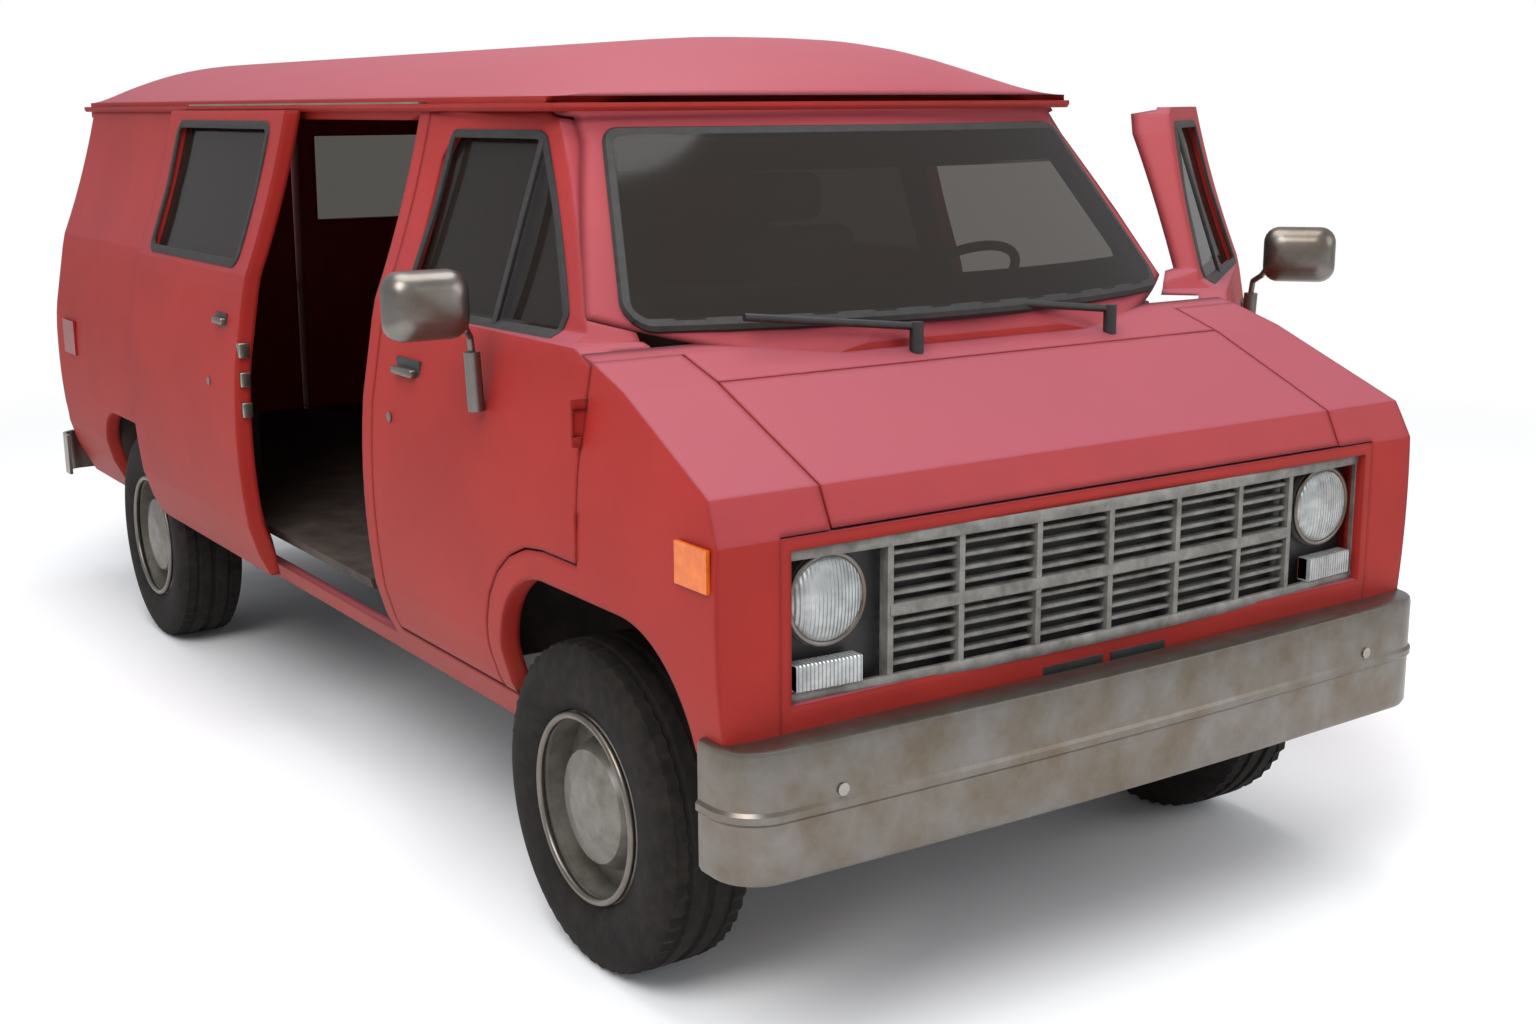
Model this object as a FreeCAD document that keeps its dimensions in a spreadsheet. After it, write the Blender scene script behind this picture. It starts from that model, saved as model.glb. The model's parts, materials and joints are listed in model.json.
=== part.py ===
import FreeCAD, Part
import math
import os

import Sketcher
from FreeCAD import Vector

# Full-size panel van. X points forward from the rear axle, Y to the van's left, Z up.
# Heights in the sheet are measured from the ground, and the origin is on the load floor.

SIZES = [
    # Chassis and wheels
    ("wheelbase", 3250), ("hub_height", 374), ("track_front", 1726), ("track_rear", 1726),
    ("kingpin_half", 733), ("steer_reach", 432),
    ("tyre_radius", 374), ("tyre_width", 226), ("tyre_bead", 212), ("tyre_shoulder", 42),
    ("rim_radius", 221), ("rim_width", 176), ("rim_wall", 9), ("rim_seat", 0.3),
    ("hubcap_radius", 140), ("hubcap_depth", 46), ("hub_bore", 34),
    ("rail_height", 130), ("rail_width", 62), ("rail_wall", 8), ("rail_half", 430), ("rail_top", 560),
    ("axle_tube_radius", 42), ("diff_radius", 150), ("knuckle_height", 210),
    # Body section, half widths and the heights that they belong to
    ("sill_half", 905), ("sill_height", 455), ("tuck_half", 964), ("tuck_height", 576),
    ("low_crease_half", 990), ("low_crease_height", 665), ("waist_half", 1009), ("waist_height", 930),
    ("high_crease_half", 998), ("high_crease_height", 1158), ("shelf_half", 962), ("shelf_height", 1362),
    ("belt_half", 951), ("belt_height", 1410), ("glass_half", 868), ("glass_height", 1640),
    ("gutter_half", 800), ("gutter_height", 1888), ("roof_edge_half", 762), ("roof_edge_height", 1928),
    ("roof_mid_half", 440), ("roof_mid_height", 2026), ("roof_height", 2052),
    ("cab_taper", 88), ("side_wall", 48), ("roof_wall", 36), ("door_wall", 74), ("hood_wall", 34),
    ("seam", 6), ("piece_gap", 0.3),
    # Body length
    ("rear_end", -1062), ("rear_lean", 34), ("corner_radius", 85), ("pillar_b", 2235), ("door_front", 3330),
    ("nose_end", 3868), ("nose_break", 3826), ("nose_break_height", 1172), ("nose_low_height", 1088),
    ("cowl_front", 3470), ("screen_foot", 3400), ("screen_foot_height", 1384), ("screen_foot_corner", 3201),
    ("screen_foot_half", 839), ("screen_head", 3000), ("screen_head_height", 1853),
    ("screen_head_corner", 2865), ("screen_head_half", 695), ("screen_border", 60), ("screen_glass", 8),
    ("hood_half", 742), ("nose_radius", 46),
    # Wheel arches
    ("arch_front_back", 2910), ("arch_front_end", 3764), ("arch_front_top", 880), ("arch_front_round", 262),
    ("arch_rear_back", -455), ("arch_rear_end", 430), ("arch_rear_top", 792), ("arch_rear_round", 210),
    ("arch_lip", 66), ("arch_lip_proud", 14),
    # Doors
    ("door_bottom", 546), ("door_head", 1880), ("slider_front", 1353), ("slider_rear", 263),
    ("slider_out", 62), ("slider_bottom", 510), ("opening_front", 2170), ("opening_rear", 1150),
    ("door_angle", 50), ("window_sill", 1400), ("window_head", 1822), ("glass_wall", 6),
    ("rear_door_head", 1840), ("rear_door_foot", 614), ("rear_door_half", 720), ("hinge_proud", 8),
    # Floor and cabin
    ("floor_height", 622), ("floor_wall", 30), ("floor_front", 1980), ("cab_floor_height", 622),
    ("well_width", 250), ("well_height", 880), ("firewall", 3180),
    ("seat_width", 480), ("seat_depth", 520), ("seat_height", 900), ("seat_centre", 430), ("seat_x", 2040),
    ("cushion", 150), ("back_top", 1690), ("dash_back", 2900), ("dash_front", 3120), ("dash_top", 1400),
    ("cover_half", 270), ("cover_back", 2665), ("cover_top", 1080), ("steering_radius", 200),
    # Nose fittings
    ("grille_half", 620), ("grille_bottom", 756), ("grille_top", 1060), ("grille_depth", 60),
    ("bezel_half", 862), ("lamp_radius", 88), ("lamp_half", 729), ("lamp_height", 945), ("lamp_depth", 70),
    ("grille_bar", 14), ("louvre", 5), ("bumper_low", 452), ("bumper_high", 728), ("bumper_face", 3918),
    ("bumper_half", 1004), ("bumper_wall", 12), ("rear_bumper_face", -1140), ("rear_bumper_low", 440),
    ("rear_bumper_high", 600),
]


class Size:
    """A number that remembers the sheet expression it comes from."""

    def __init__(self, value, text):
        self.value = float(value)
        self.text = text

    @staticmethod
    def of(other):
        return other if isinstance(other, Size) else Size(other, f"{other}")

    def __add__(self, other):
        other = Size.of(other)
        return Size(self.value + other.value, f"({self.text} + {other.text})")

    def __radd__(self, other):
        return Size.of(other) + self

    def __sub__(self, other):
        other = Size.of(other)
        return Size(self.value - other.value, f"({self.text} - {other.text})")

    def __rsub__(self, other):
        return Size.of(other) - self

    def __mul__(self, other):
        other = Size.of(other)
        return Size(self.value * other.value, f"({self.text} * {other.text})")

    def __rmul__(self, other):
        return Size.of(other) * self

    def __truediv__(self, other):
        other = Size.of(other)
        return Size(self.value / other.value, f"({self.text} / {other.text})")

    def __neg__(self):
        return Size(-self.value, f"(-1 * {self.text})")

    def __float__(self):
        return self.value


class Sheet:
    """The driving dimensions: s.name gives a Size, s["name"] its plain number."""

    def __init__(self, doc, rows):
        self.sheet = doc.addObject("Spreadsheet::Sheet", "Sizes")
        for row, (alias, value) in enumerate(rows, start=1):
            self.sheet.set(f"A{row}", alias)
            self.sheet.set(f"B{row}", f"{value}")
            self.sheet.setAlias(f"B{row}", alias)
        doc.recompute()

    def __getattr__(self, alias):
        return Size(self.sheet.get(alias), f"Sizes.{alias}")

    def __getitem__(self, alias):
        return float(self.sheet.get(alias))


doc = FreeCAD.newDocument("PanelVan")
s = Sheet(doc, SIZES)
finished = []


# Helpers for the document's objects

def bind(target, name, size):
    """Set a property and tie it to the sheet."""
    size = Size.of(size)
    setattr(target, name, size.value)
    if "Sizes" in size.text:
        target.setExpression(name, size.text)


def place(target, x=0, y=0, z=0, turn=None):
    """Give a sub-part its Placement, with z measured from the ground, and keep it for export."""
    x, y, z = Size.of(x), Size.of(y), Size.of(z) - s.floor_height
    rotation = FreeCAD.Rotation(*turn) if turn else FreeCAD.Rotation()
    target.Placement = FreeCAD.Placement(Vector(x.value, y.value, z.value), rotation)
    for axis, size in (("x", x), ("y", y), ("z", z)):
        if "Sizes" in size.text:
            target.setExpression(f"Placement.Base.{axis}", size.text)
    finished.append(target)
    return target


def new_body(label):
    body = doc.addObject("PartDesign::Body", label)
    body.Label = label
    return body


def new_sketch(body, role):
    """A sketch on one of the body's own origin planes."""
    sketch = body.newObject("Sketcher::SketchObject", f"{body.Name}_sketch")
    plane = [f for f in body.Origin.OriginFeatures if f.Role == role][0]
    sketch.AttachmentSupport = [(plane, "")]
    sketch.MapMode = "FlatFace"
    return sketch


def tie_point(sketch, edge, end, point):
    """Hold one end of an edge at a point measured from the sketch's origin."""
    for kind, size in (("DistanceX", point[0]), ("DistanceY", point[1])):
        size = Size.of(size)
        index = sketch.addConstraint(Sketcher.Constraint(kind, -1, 1, edge, end, size.value))
        if "Sizes" in size.text:
            sketch.setExpression(f"Constraints[{index}]", size.text)


def outline(sketch, points):
    """A closed outline of straight edges whose corners are tied to the sheet."""
    first = sketch.GeometryCount
    count = len(points)
    spots = [Vector(float(Size.of(x)), float(Size.of(y)), 0) for x, y in points]
    for i in range(count):
        sketch.addGeometry(Part.LineSegment(spots[i], spots[(i + 1) % count]), False)
    for i in range(count):
        after = first + (i + 1) % count
        sketch.addConstraint(Sketcher.Constraint("Coincident", first + i, 2, after, 1))
        tie_point(sketch, first + i, 1, points[i])
    return sketch


def circle(sketch, x, y, radius):
    """A circle tied to the sheet."""
    radius = Size.of(radius)
    spot = Vector(float(Size.of(x)), float(Size.of(y)), 0)
    edge = sketch.addGeometry(Part.Circle(spot, Vector(0, 0, 1), radius.value), False)
    tie_point(sketch, edge, 3, (x, y))
    index = sketch.addConstraint(Sketcher.Constraint("Radius", edge, radius.value))
    if "Sizes" in radius.text:
        sketch.setExpression(f"Constraints[{index}]", radius.text)
    return sketch


def pad(body, sketch, length, midplane=True, cut=False):
    """A pad or pocket along the sketch's normal."""
    kind = "PartDesign::Pocket" if cut else "PartDesign::Pad"
    feature = body.newObject(kind, f"{body.Name}_{'pocket' if cut else 'pad'}")
    feature.Profile = sketch
    bind(feature, "Length", length)
    feature.Midplane = midplane
    return feature


def revolve(body, sketch, axis):
    """A full turn about one of the sketch's own axes."""
    feature = body.newObject("PartDesign::Revolution", f"{body.Name}_turn")
    feature.Profile = sketch
    feature.ReferenceAxis = (sketch, [axis])
    feature.Angle = 360.0
    return feature


def edges_along(shape, direction):
    """Names of the straight edges that run along a direction."""
    names = []
    for number, edge in enumerate(shape.Edges, start=1):
        if isinstance(edge.Curve, Part.Line) and abs(edge.Curve.Direction.dot(direction)) > 0.999:
            names.append(f"Edge{number}")
    return names


def round_edges(body, base, names, radius):
    """A fillet on named edges of the last feature."""
    feature = body.newObject("PartDesign::Fillet", f"{body.Name}_round")
    feature.Base = (base, names)
    bind(feature, "Radius", radius)
    return feature


def padded_block(label, profile, role, length, rounds):
    """A block with one outline, padded both ways, its edges along the pad rounded."""
    body = new_body(label)
    block = pad(body, outline(new_sketch(body, role), profile), length)
    doc.recompute()
    axes = {"XY_Plane": Vector(0, 0, 1), "XZ_Plane": Vector(0, 1, 0), "YZ_Plane": Vector(1, 0, 0)}
    if rounds is not None:
        round_edges(body, block, edges_along(body.Shape, axes[role]), rounds)
    return body


def feature(label, shape, z=0):
    """A sub-part whose shape comes from surfaces, given its Placement after its Shape."""
    item = doc.addObject("Part::Feature", label)
    item.Label = label
    item.Shape = shape
    return place(item, 0, 0, z)


# Plain shape functions, heights measured from the ground

def prism(points, low, high, plane="XZ", lean=0.0, centre=0.0):
    """A closed outline carried between two levels of the third axis.

    lean draws the outline at the low level towards its centre, as a door that tapers inwards.
    """
    def wire(level, inset):
        spots = []
        for a, b in points:
            a2 = a + (centre - a) / abs(centre - a) * inset if inset and centre != a else a
            if plane == "XZ":
                spots.append(Vector(a2, level, b))
            elif plane == "XY":
                spots.append(Vector(a2, b, level))
            else:
                spots.append(Vector(level, a2, b))
        return Part.makePolygon(spots + [spots[0]])

    if lean:
        return Part.makeLoft([wire(low, lean), wire(high, 0.0)], True, True)
    face = Part.Face(wire(low, 0.0))
    direction = {"XZ": Vector(0, 1, 0), "XY": Vector(0, 0, 1), "YZ": Vector(1, 0, 0)}[plane]
    return face.extrude(direction * (high - low))


def box(x1, x2, y1, y2, z1, z2):
    return Part.makeBox(x2 - x1, y2 - y1, z2 - z1, Vector(x1, y1, z1))


def mirrored(shape):
    """The same piece on the other side of the van."""
    return shape.mirror(Vector(0, 0, 0), Vector(0, 1, 0))


def joined(shapes):
    result = shapes[0]
    for shape in shapes[1:]:
        result = result.fuse(shape)
    return result.removeSplitter()


def rounded(points, radii):
    """A closed wire of straight runs whose corners are rounded by tangent arcs.

    Each point is a Vector, and each radius may be 0 for a sharp corner.
    """
    count = len(points)
    edges = []
    starts, ends, arcs = [], [], []
    for i in range(count):
        before = (points[i - 1] - points[i]).normalize()
        after = (points[(i + 1) % count] - points[i]).normalize()
        if radii[i] <= 0:
            starts.append(points[i])
            ends.append(points[i])
            arcs.append(None)
            continue
        half = before.getAngle(after) / 2
        reach = radii[i] / math.tan(half)
        inward = (before + after).normalize()
        middle = points[i] + inward * (radii[i] / math.sin(half) - radii[i])
        starts.append(points[i] + before * reach)
        ends.append(points[i] + after * reach)
        arcs.append(Part.Arc(starts[i], middle, ends[i]).toShape())
    for i in range(count):
        if arcs[i] is not None:
            edges.append(arcs[i])
        following = starts[(i + 1) % count]
        if (following - ends[i]).Length > 0.001:
            edges.append(Part.LineSegment(ends[i], following).toShape())
    return Part.Wire(edges)


# The body's outer surface

def section_wire(x, inset, roof_inset, taper, bottom):
    """The body's closed cross-section at x, drawn in by an inset."""
    def spot(half, height, drop=0.0):
        return (s[half] - inset, s[height] - drop)

    sill = (s["sill_half"] - inset, bottom)
    tuck = spot("tuck_half", "tuck_height")
    low = spot("low_crease_half", "low_crease_height")
    waist = spot("waist_half", "waist_height")
    high = spot("high_crease_half", "high_crease_height")
    shelf = spot("shelf_half", "shelf_height")
    belt = (s["belt_half"] - inset - taper, s["belt_height"])
    glass = (s["glass_half"] - inset - taper, s["glass_height"])
    gutter = (s["gutter_half"] - inset - taper, s["gutter_height"])
    edge = (s["roof_edge_half"] - inset - taper, s["roof_edge_height"] - roof_inset)
    mid = (s["roof_mid_half"], s["roof_mid_height"] - roof_inset)
    top = s["roof_height"] - roof_inset

    def at(pair, side):
        return Vector(x, side * pair[0], pair[1])

    edges = []
    for side in (1, -1):
        run = [
            Part.LineSegment(at(sill, side), at(tuck, side)),
            Part.LineSegment(at(tuck, side), at(low, side)),
            Part.Arc(at(low, side), at(waist, side), at(high, side)),
            Part.LineSegment(at(high, side), at(shelf, side)),
            Part.LineSegment(at(shelf, side), at(belt, side)),
            Part.Arc(at(belt, side), at(glass, side), at(gutter, side)),
            Part.LineSegment(at(gutter, side), at(edge, side)),
        ]
        shapes = [curve.toShape() for curve in run]
        edges.append(shapes if side == 1 else list(reversed(shapes)))
    roof = Part.Arc(at(edge, 1), Vector(x, 0, top), at(edge, -1)).toShape()
    floor = Part.LineSegment(at(sill, -1), at(sill, 1)).toShape()
    return Part.Wire(edges[0] + [roof] + edges[1] + [floor])


def screen_tool(back):
    """Everything in front of the windscreen's surface, moved back by a distance."""
    wires = []
    for share in (-0.5, 1.6):
        def along(foot, head):
            return s[foot] + (s[head] - s[foot]) * share

        z = along("screen_foot_height", "screen_head_height")
        centre = along("screen_foot", "screen_head") - back
        corner = along("screen_foot_corner", "screen_head_corner") - back
        half = along("screen_foot_half", "screen_head_half")
        sag = centre - corner
        radius = (half * half + sag * sag) / (2 * sag)
        wide = 1100.0
        edge = centre - (radius - math.sqrt(radius * radius - wide * wide))
        front = s["nose_end"] + 400
        arc = Part.Arc(Vector(edge, wide, z), Vector(centre, 0, z), Vector(edge, -wide, z)).toShape()
        sides = [
            Part.LineSegment(Vector(edge, -wide, z), Vector(front, -wide, z)).toShape(),
            Part.LineSegment(Vector(front, -wide, z), Vector(front, wide, z)).toShape(),
            Part.LineSegment(Vector(front, wide, z), Vector(edge, wide, z)).toShape(),
        ]
        wires.append(Part.Wire([arc] + sides))
    return Part.makeLoft(wires, True, True)


def hull(inset, roof_inset, open_floor):
    """The solid body form, drawn in by the wall thickness, its floor cut at the sill or left open."""
    bottom = s["sill_height"] - (200 if open_floor else 0)
    straight = Part.makeLoft([
        section_wire(s["rear_end"] - 20, inset, roof_inset, 0.0, bottom),
        section_wire(s["pillar_b"], inset, roof_inset, 0.0, bottom)], True, True)
    cab = Part.makeLoft([
        section_wire(s["pillar_b"], inset, roof_inset, 0.0, bottom),
        section_wire(s["door_front"] + 60, inset, roof_inset, s["cab_taper"], bottom)], True, True)
    top = roof_inset
    roof_line = [
        (s["rear_end"] + inset, bottom), (s["rear_end"] + inset, s["waist_height"]),
        (s["rear_end"] + s["rear_lean"] + inset, s["gutter_height"] - top),
        (s["rear_end"] + s["rear_lean"] + 70 + inset, s["roof_height"] - 46 - top),
        (s["rear_end"] + s["rear_lean"] + 260, s["roof_height"] + 1 - top),
        (s["screen_head"] - 560, s["roof_height"] + 1 - top),
        (s["screen_head"] - 260, s["roof_height"] - 28 - top),
        (s["screen_head"] - 60, s["roof_height"] - 88 - top),
        (s["screen_head"] + 20 - inset, s["gutter_height"] + 18 - top),
        (s["screen_head"] + 500, s["belt_height"] - 200), (s["screen_head"] + 500, bottom)]
    cabin = joined([straight, cab]).common(prism(roof_line, -1200, 1200))
    cabin = cabin.cut(screen_tool(inset))
    nose_line = [
        (s["pillar_b"], bottom), (s["pillar_b"], s["screen_foot_height"] + 8 - top),
        (s["screen_foot_corner"] + 40, s["screen_foot_height"] + 8 - top),
        (s["door_front"], s["screen_foot_height"] - 12 - top),
        (s["cowl_front"], s["screen_foot_height"] - 56 - top),
        (s["nose_break"] - inset, s["nose_break_height"] - top),
        (s["nose_end"] - inset, s["nose_low_height"] - top / 2), (s["nose_end"] - inset, bottom)]
    block = Part.makeLoft([
        section_wire(s["pillar_b"], inset, 0.0, 0.0, bottom),
        section_wire(s["nose_end"] + 20, inset, 0.0, 0.0, bottom)], True, True)
    nose = block.common(prism(nose_line, -1200, 1200))
    body = joined([cabin, nose])
    corners = []
    for edge in body.Edges:
        ends = [v.Point for v in edge.Vertexes]
        if len(ends) == 2 and all(abs(p.x - s["rear_end"] - inset) < s["rear_lean"] + 4 for p in ends):
            if ends[0].y * ends[1].y > 0 and abs(ends[0].z - ends[1].z) > 20:
                corners.append(edge)
    if inset == 0.0 and corners:
        body = rounded_or_plain(body, corners, s["corner_radius"])
    return body


def rounded_or_plain(body, edges, radius):
    """The body with its upright rear corners rounded."""
    return body.makeFillet(radius, edges)


def arch_shape(back, end, top, radius, low, side):
    """The wheel opening's prism through one side of the body."""
    y_in, y_out = (560.0, 1100.0) if side > 0 else (-1100.0, -560.0)
    points = [Vector(back, y_in, low), Vector(back, y_in, top), Vector(end, y_in, top), Vector(end, y_in, low)]
    wire = rounded(points, [0, radius, radius, 0])
    return Part.Face(wire).extrude(Vector(0, y_out - y_in, 0))


def surface_half(x, z):
    """The body's half width at a height, with the cab's taper ahead of the door pillar."""
    names = ("sill", "tuck", "low_crease", "waist", "high_crease", "shelf", "belt", "glass", "gutter")
    run = [(s[f"{name}_height"], s[f"{name}_half"]) for name in names]
    ahead = (x - s["pillar_b"]) / (s["door_front"] + 60 - s["pillar_b"])
    taper = s["cab_taper"] * max(0.0, min(1.0, ahead))
    run = [(h, half - (taper if h >= s["belt_height"] else 0.0)) for h, half in run]
    if z <= run[0][0]:
        return run[0][1]
    for (h1, y1), (h2, y2) in zip(run, run[1:]):
        if z <= h2:
            return y1 + (y2 - y1) * (z - h1) / (h2 - h1)
    return run[-1][1]


def plug(points, slope_of, grow=0.0):
    """A side opening that narrows inwards, through the right side of the body.

    Each corner follows a line through its own place on the outer surface, leaning back by
    slope_of(x, z) for each millimetre inwards.
    """
    wires = []
    for level in (-1100.0, -560.0):
        spots = []
        for x, z in points:
            half = surface_half(x, z)
            spots.append(Vector(x - slope_of(x, z) * (half + level), level, z))
        wires.append(Part.makePolygon(spots + [spots[0]]))
    return Part.makeLoft(wires, True, True)


def door_points(gap):
    """The front door's outline, drawn in by the gap on every side."""
    rear = s["pillar_b"] + gap / 2
    front = s["door_front"] - gap
    low = s["door_bottom"] + gap
    head = s["door_head"] - gap
    shelf = s["shelf_height"]
    run = [(rear, low)]
    lip = s["arch_lip"] + gap
    centre_x = s["arch_front_back"] + s["arch_front_round"]
    centre_z = s["arch_front_top"] - s["arch_front_round"]
    reach = s["arch_front_round"] + lip
    first = math.asin(max(-1.0, (low - centre_z) / reach))
    steps = 7
    for i in range(steps + 1):
        angle = math.pi - first + (math.pi / 2 - math.pi + first) * i / steps
        run.append((centre_x + reach * math.cos(angle), centre_z + reach * math.sin(angle)))
    run.append((front, s["arch_front_top"] + lip))
    run.append((front, shelf))
    run.append((s["screen_foot_corner"] - 60 - gap, s["belt_height"] + 30))
    run.append((s["screen_head_corner"] + 30 - gap, head - 74))
    run.append((s["screen_head_corner"] - 14 - gap, head - 18))
    run.append((s["screen_head_corner"] - 70 - gap, head))
    run.append((rear, head))
    for height in ("glass_height", "belt_height", "shelf_height", "high_crease_height", "waist_height",
                   "low_crease_height"):
        run.append((rear, s[height]))
    return run


def door_lean(x, z):
    """How far the front door's edges lean back for each millimetre inwards."""
    if x > s["pillar_b"] + 100:
        return 0.0
    return -0.25 if z > s["belt_height"] else -0.12


def window_points(gap):
    """The front door's window outline."""
    return [
        (2330 + gap, s["window_sill"] + gap), (3058 - gap, s["window_sill"] + gap),
        (3066 - gap, s["window_sill"] + 40), (2806 - gap, s["window_head"] - 20 - gap),
        (2790 - gap, s["window_head"] - gap), (2380 + gap, s["window_head"] - gap),
        (2336 + gap, s["window_head"] - 60 - gap)]


outer = hull(0.0, 0.0, False)
wall_inner = hull(s["side_wall"], s["roof_wall"], True)
door_inner = hull(s["door_wall"], s["roof_wall"], True)
frame_inner = hull(s["door_wall"] * 0.55, s["roof_wall"], True)
glass_out = hull(22.0, 12.0, True)
glass_in = hull(22.0 + s["glass_wall"], 14.0, True)
skin = outer.cut(wall_inner)
glass_layer = glass_out.cut(glass_in)
lower_zone = box(-1200, 4000, -1200, 1200, 0, s["belt_height"])
upper_zone = box(-1200, 4000, -1200, 1200, s["belt_height"], 2200)
door_layer = outer.cut(door_inner).common(lower_zone).fuse(outer.cut(frame_inner).common(upper_zone))
gap = s["seam"]

arch_front = arch_shape(s["arch_front_back"], s["arch_front_end"], s["arch_front_top"],
                        s["arch_front_round"], 300.0, -1)
wheel_space = Part.makeSphere(s["steer_reach"], Vector(s["wheelbase"], -s["kingpin_half"], s["hub_height"]))
wheel_space = wheel_space.common(box(2000, 4000, -1200, -545, -200, 900))
arch_rear = arch_shape(s["arch_rear_back"], s["arch_rear_end"], s["arch_rear_top"],
                       s["arch_rear_round"], 300.0, -1)
front_opening = plug(door_points(-0.0), door_lean)
front_plug = plug(door_points(gap), door_lean)
right_half = box(-1200, 4000, -1200, 0, 0, 2200)

# Roof with the header over the rear doors
roof_zone = box(-1200, s["screen_head"] + 60, -1200, 1200, s["gutter_height"], 2200)
header = box(-1200, -900, -s["rear_door_half"], s["rear_door_half"], s["rear_door_head"] + gap,
             s["gutter_height"] + gap)
roof = skin.common(roof_zone.fuse(header))
feature("roof_panel", roof)

# Sides: quarter, door pillar and sill in one
side_zone = box(-1200, s["pillar_b"] - gap / 2, -1200, -s["rear_door_half"] - gap, 0,
                s["gutter_height"] - s["piece_gap"])
sill_zone = box(s["pillar_b"] - gap / 2 - 1, s["arch_front_back"] - 4, -1200, -700, 0, s["door_bottom"] - gap / 2)
slider_opening = box(s["opening_rear"], s["opening_front"], -1200, -600, s["slider_bottom"] + 12, 2000)
side = skin.common(side_zone.fuse(sill_zone)).cut(arch_rear).cut(arch_front).cut(wheel_space)
side_right = side.cut(slider_opening)

left_window = [(1215, 1430), (2105, 1430), (2105, 1830), (1215, 1830)]
left_window_in = [(1215 + 0.3, 1430.3), (2104.7, 1430.3), (2104.7, 1829.7), (1215.3, 1829.7)]
side_left = side.cut(prism(left_window, -1200, -600))
feature("side_window_left", mirrored(glass_layer.common(prism(left_window_in, -1200, -600))))

# Fenders
fender_zone = box(s["arch_front_back"] - s["arch_lip"], s["nose_end"] + 10, -1200, -s["hood_half"] - gap / 2,
                  s["door_bottom"] + gap / 2, s["screen_foot_height"] + 40)
behind_seam = box(2000, s["door_front"] + 1, -1200, 0, s["shelf_height"] - 60, 2200)
face_zone = box(s["nose_break"] - 60, s["nose_end"] + 20, -s["bezel_half"] - s["piece_gap"], 0, 400,
                s["nose_low_height"] + 4)
fender = skin.common(fender_zone).cut(front_opening).cut(arch_front).cut(wheel_space).cut(face_zone).cut(behind_seam)
fender = fender.cut(box(2000, 4000, -1200, 0, 0, 620).common(box(3600, 4000, -1200, 0, 0, 700)))
hinge_heights = (1010, 1250)
door_hinges = [(z, z1, z2) for z in hinge_heights for z1, z2 in ((-50.3, -30.3), (30.3, 50.3))]


def door_hinge(z1, z2, ahead):
    """One barrel of a front door's hinge in the seam, with the web that ties it to its panel."""
    x, y = s["door_front"] - gap / 2, -s["waist_half"]
    barrel = Part.makeCylinder(2.7, z2 - z1, Vector(x, y, z1))
    x1, x2 = (x, x + gap / 2 + 3) if ahead else (x - gap / 2 - 3, x)
    return barrel.fuse(box(x1, x2, y - 1, 12 - surface_half(x, z2), z1, z2))


fender = joined([fender] + [door_hinge(z + z1, z + z2, True) for z, z1, z2 in door_hinges])
feature("fender_right", fender)
feature("fender_left", mirrored(fender))

# Windscreen frame with the cowl, and the glass in it
frame_zone = box(2700, s["cowl_front"] - gap, -1200, 1200, s["shelf_height"] - 60, s["gutter_height"] - s["piece_gap"])
ahead_of_seam = box(s["door_front"] + 0.7, 4000, s["hood_half"] - gap / 2, 1200, 0, 2200)
ahead_of_seam = ahead_of_seam.fuse(mirrored(ahead_of_seam))


def screen_outline(border, x):
    """The windscreen aperture seen from the front."""
    foot = s["screen_foot_height"] + border
    head = s["screen_head_height"] - border
    foot_half = s["screen_foot_half"] - border
    head_half = s["screen_head_half"] - border
    points = [Vector(x, -foot_half, foot), Vector(x, -head_half, head), Vector(x, head_half, head),
              Vector(x, foot_half, foot)]
    wire = rounded(points, [90, 70, 70, 90])
    return Part.Face(wire).extrude(Vector(900, 0, 0))


screen_hole = screen_outline(s["screen_border"], 2600)
frame = skin.common(frame_zone).cut(ahead_of_seam).cut(screen_hole)
frame = frame.cut(front_opening).cut(mirrored(front_opening))
layer = screen_tool(14.0 + s["screen_glass"]).cut(screen_tool(14.0))
feature("windscreen", layer.common(screen_outline(s["screen_border"] + s["piece_gap"], 2600)))

# Hood, hung on two pins in its rear seam
pin_x, pin_z, pin_r = s["cowl_front"] - gap / 2, s["screen_foot_height"] - 56 - 3, 2.7


def hinge_part(y1, y2, ahead):
    """One barrel on the hood's hinge line, with the web that ties it to its panel."""
    barrel = Part.makeCylinder(pin_r, y2 - y1, Vector(pin_x, y1, pin_z), Vector(0, 1, 0))
    x1, x2 = (pin_x, pin_x + gap / 2 + 2) if ahead else (pin_x - gap / 2 - 2, pin_x)
    return barrel.fuse(box(x1, x2, y1, y2, pin_z - pin_r, pin_z + pin_r - 1))


hood_barrels = [hinge_part(side * 560 - 30, side * 560 + 30, True) for side in (-1, 1)]
cowl_barrels = []
for side in (-1, 1):
    for far in (-50.3, 30.3):
        cowl_barrels.append(hinge_part(side * 560 + far, side * 560 + far + 20, False))
hood_zone = box(s["cowl_front"], s["nose_end"] + 20, -s["hood_half"] + gap / 2, s["hood_half"] - gap / 2,
                s["nose_low_height"] + gap, 2200)
feature("hood", joined([skin.common(hood_zone)] + hood_barrels))

feature("windscreen_frame", joined([frame] + cowl_barrels))

# Nose panel: the surround of the grille and the valance below it
nose_face = box(s["nose_break"] - 30, s["nose_end"] + 20, -s["bezel_half"], s["bezel_half"], 625,
                s["nose_low_height"])
grille_hole = box(3700, 4000, -s["bezel_half"] + 24, s["bezel_half"] - 24, s["grille_bottom"] - 2,
                  s["grille_top"] + 2)
feature("nose_panel", skin.common(nose_face).cut(grille_hole))

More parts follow.
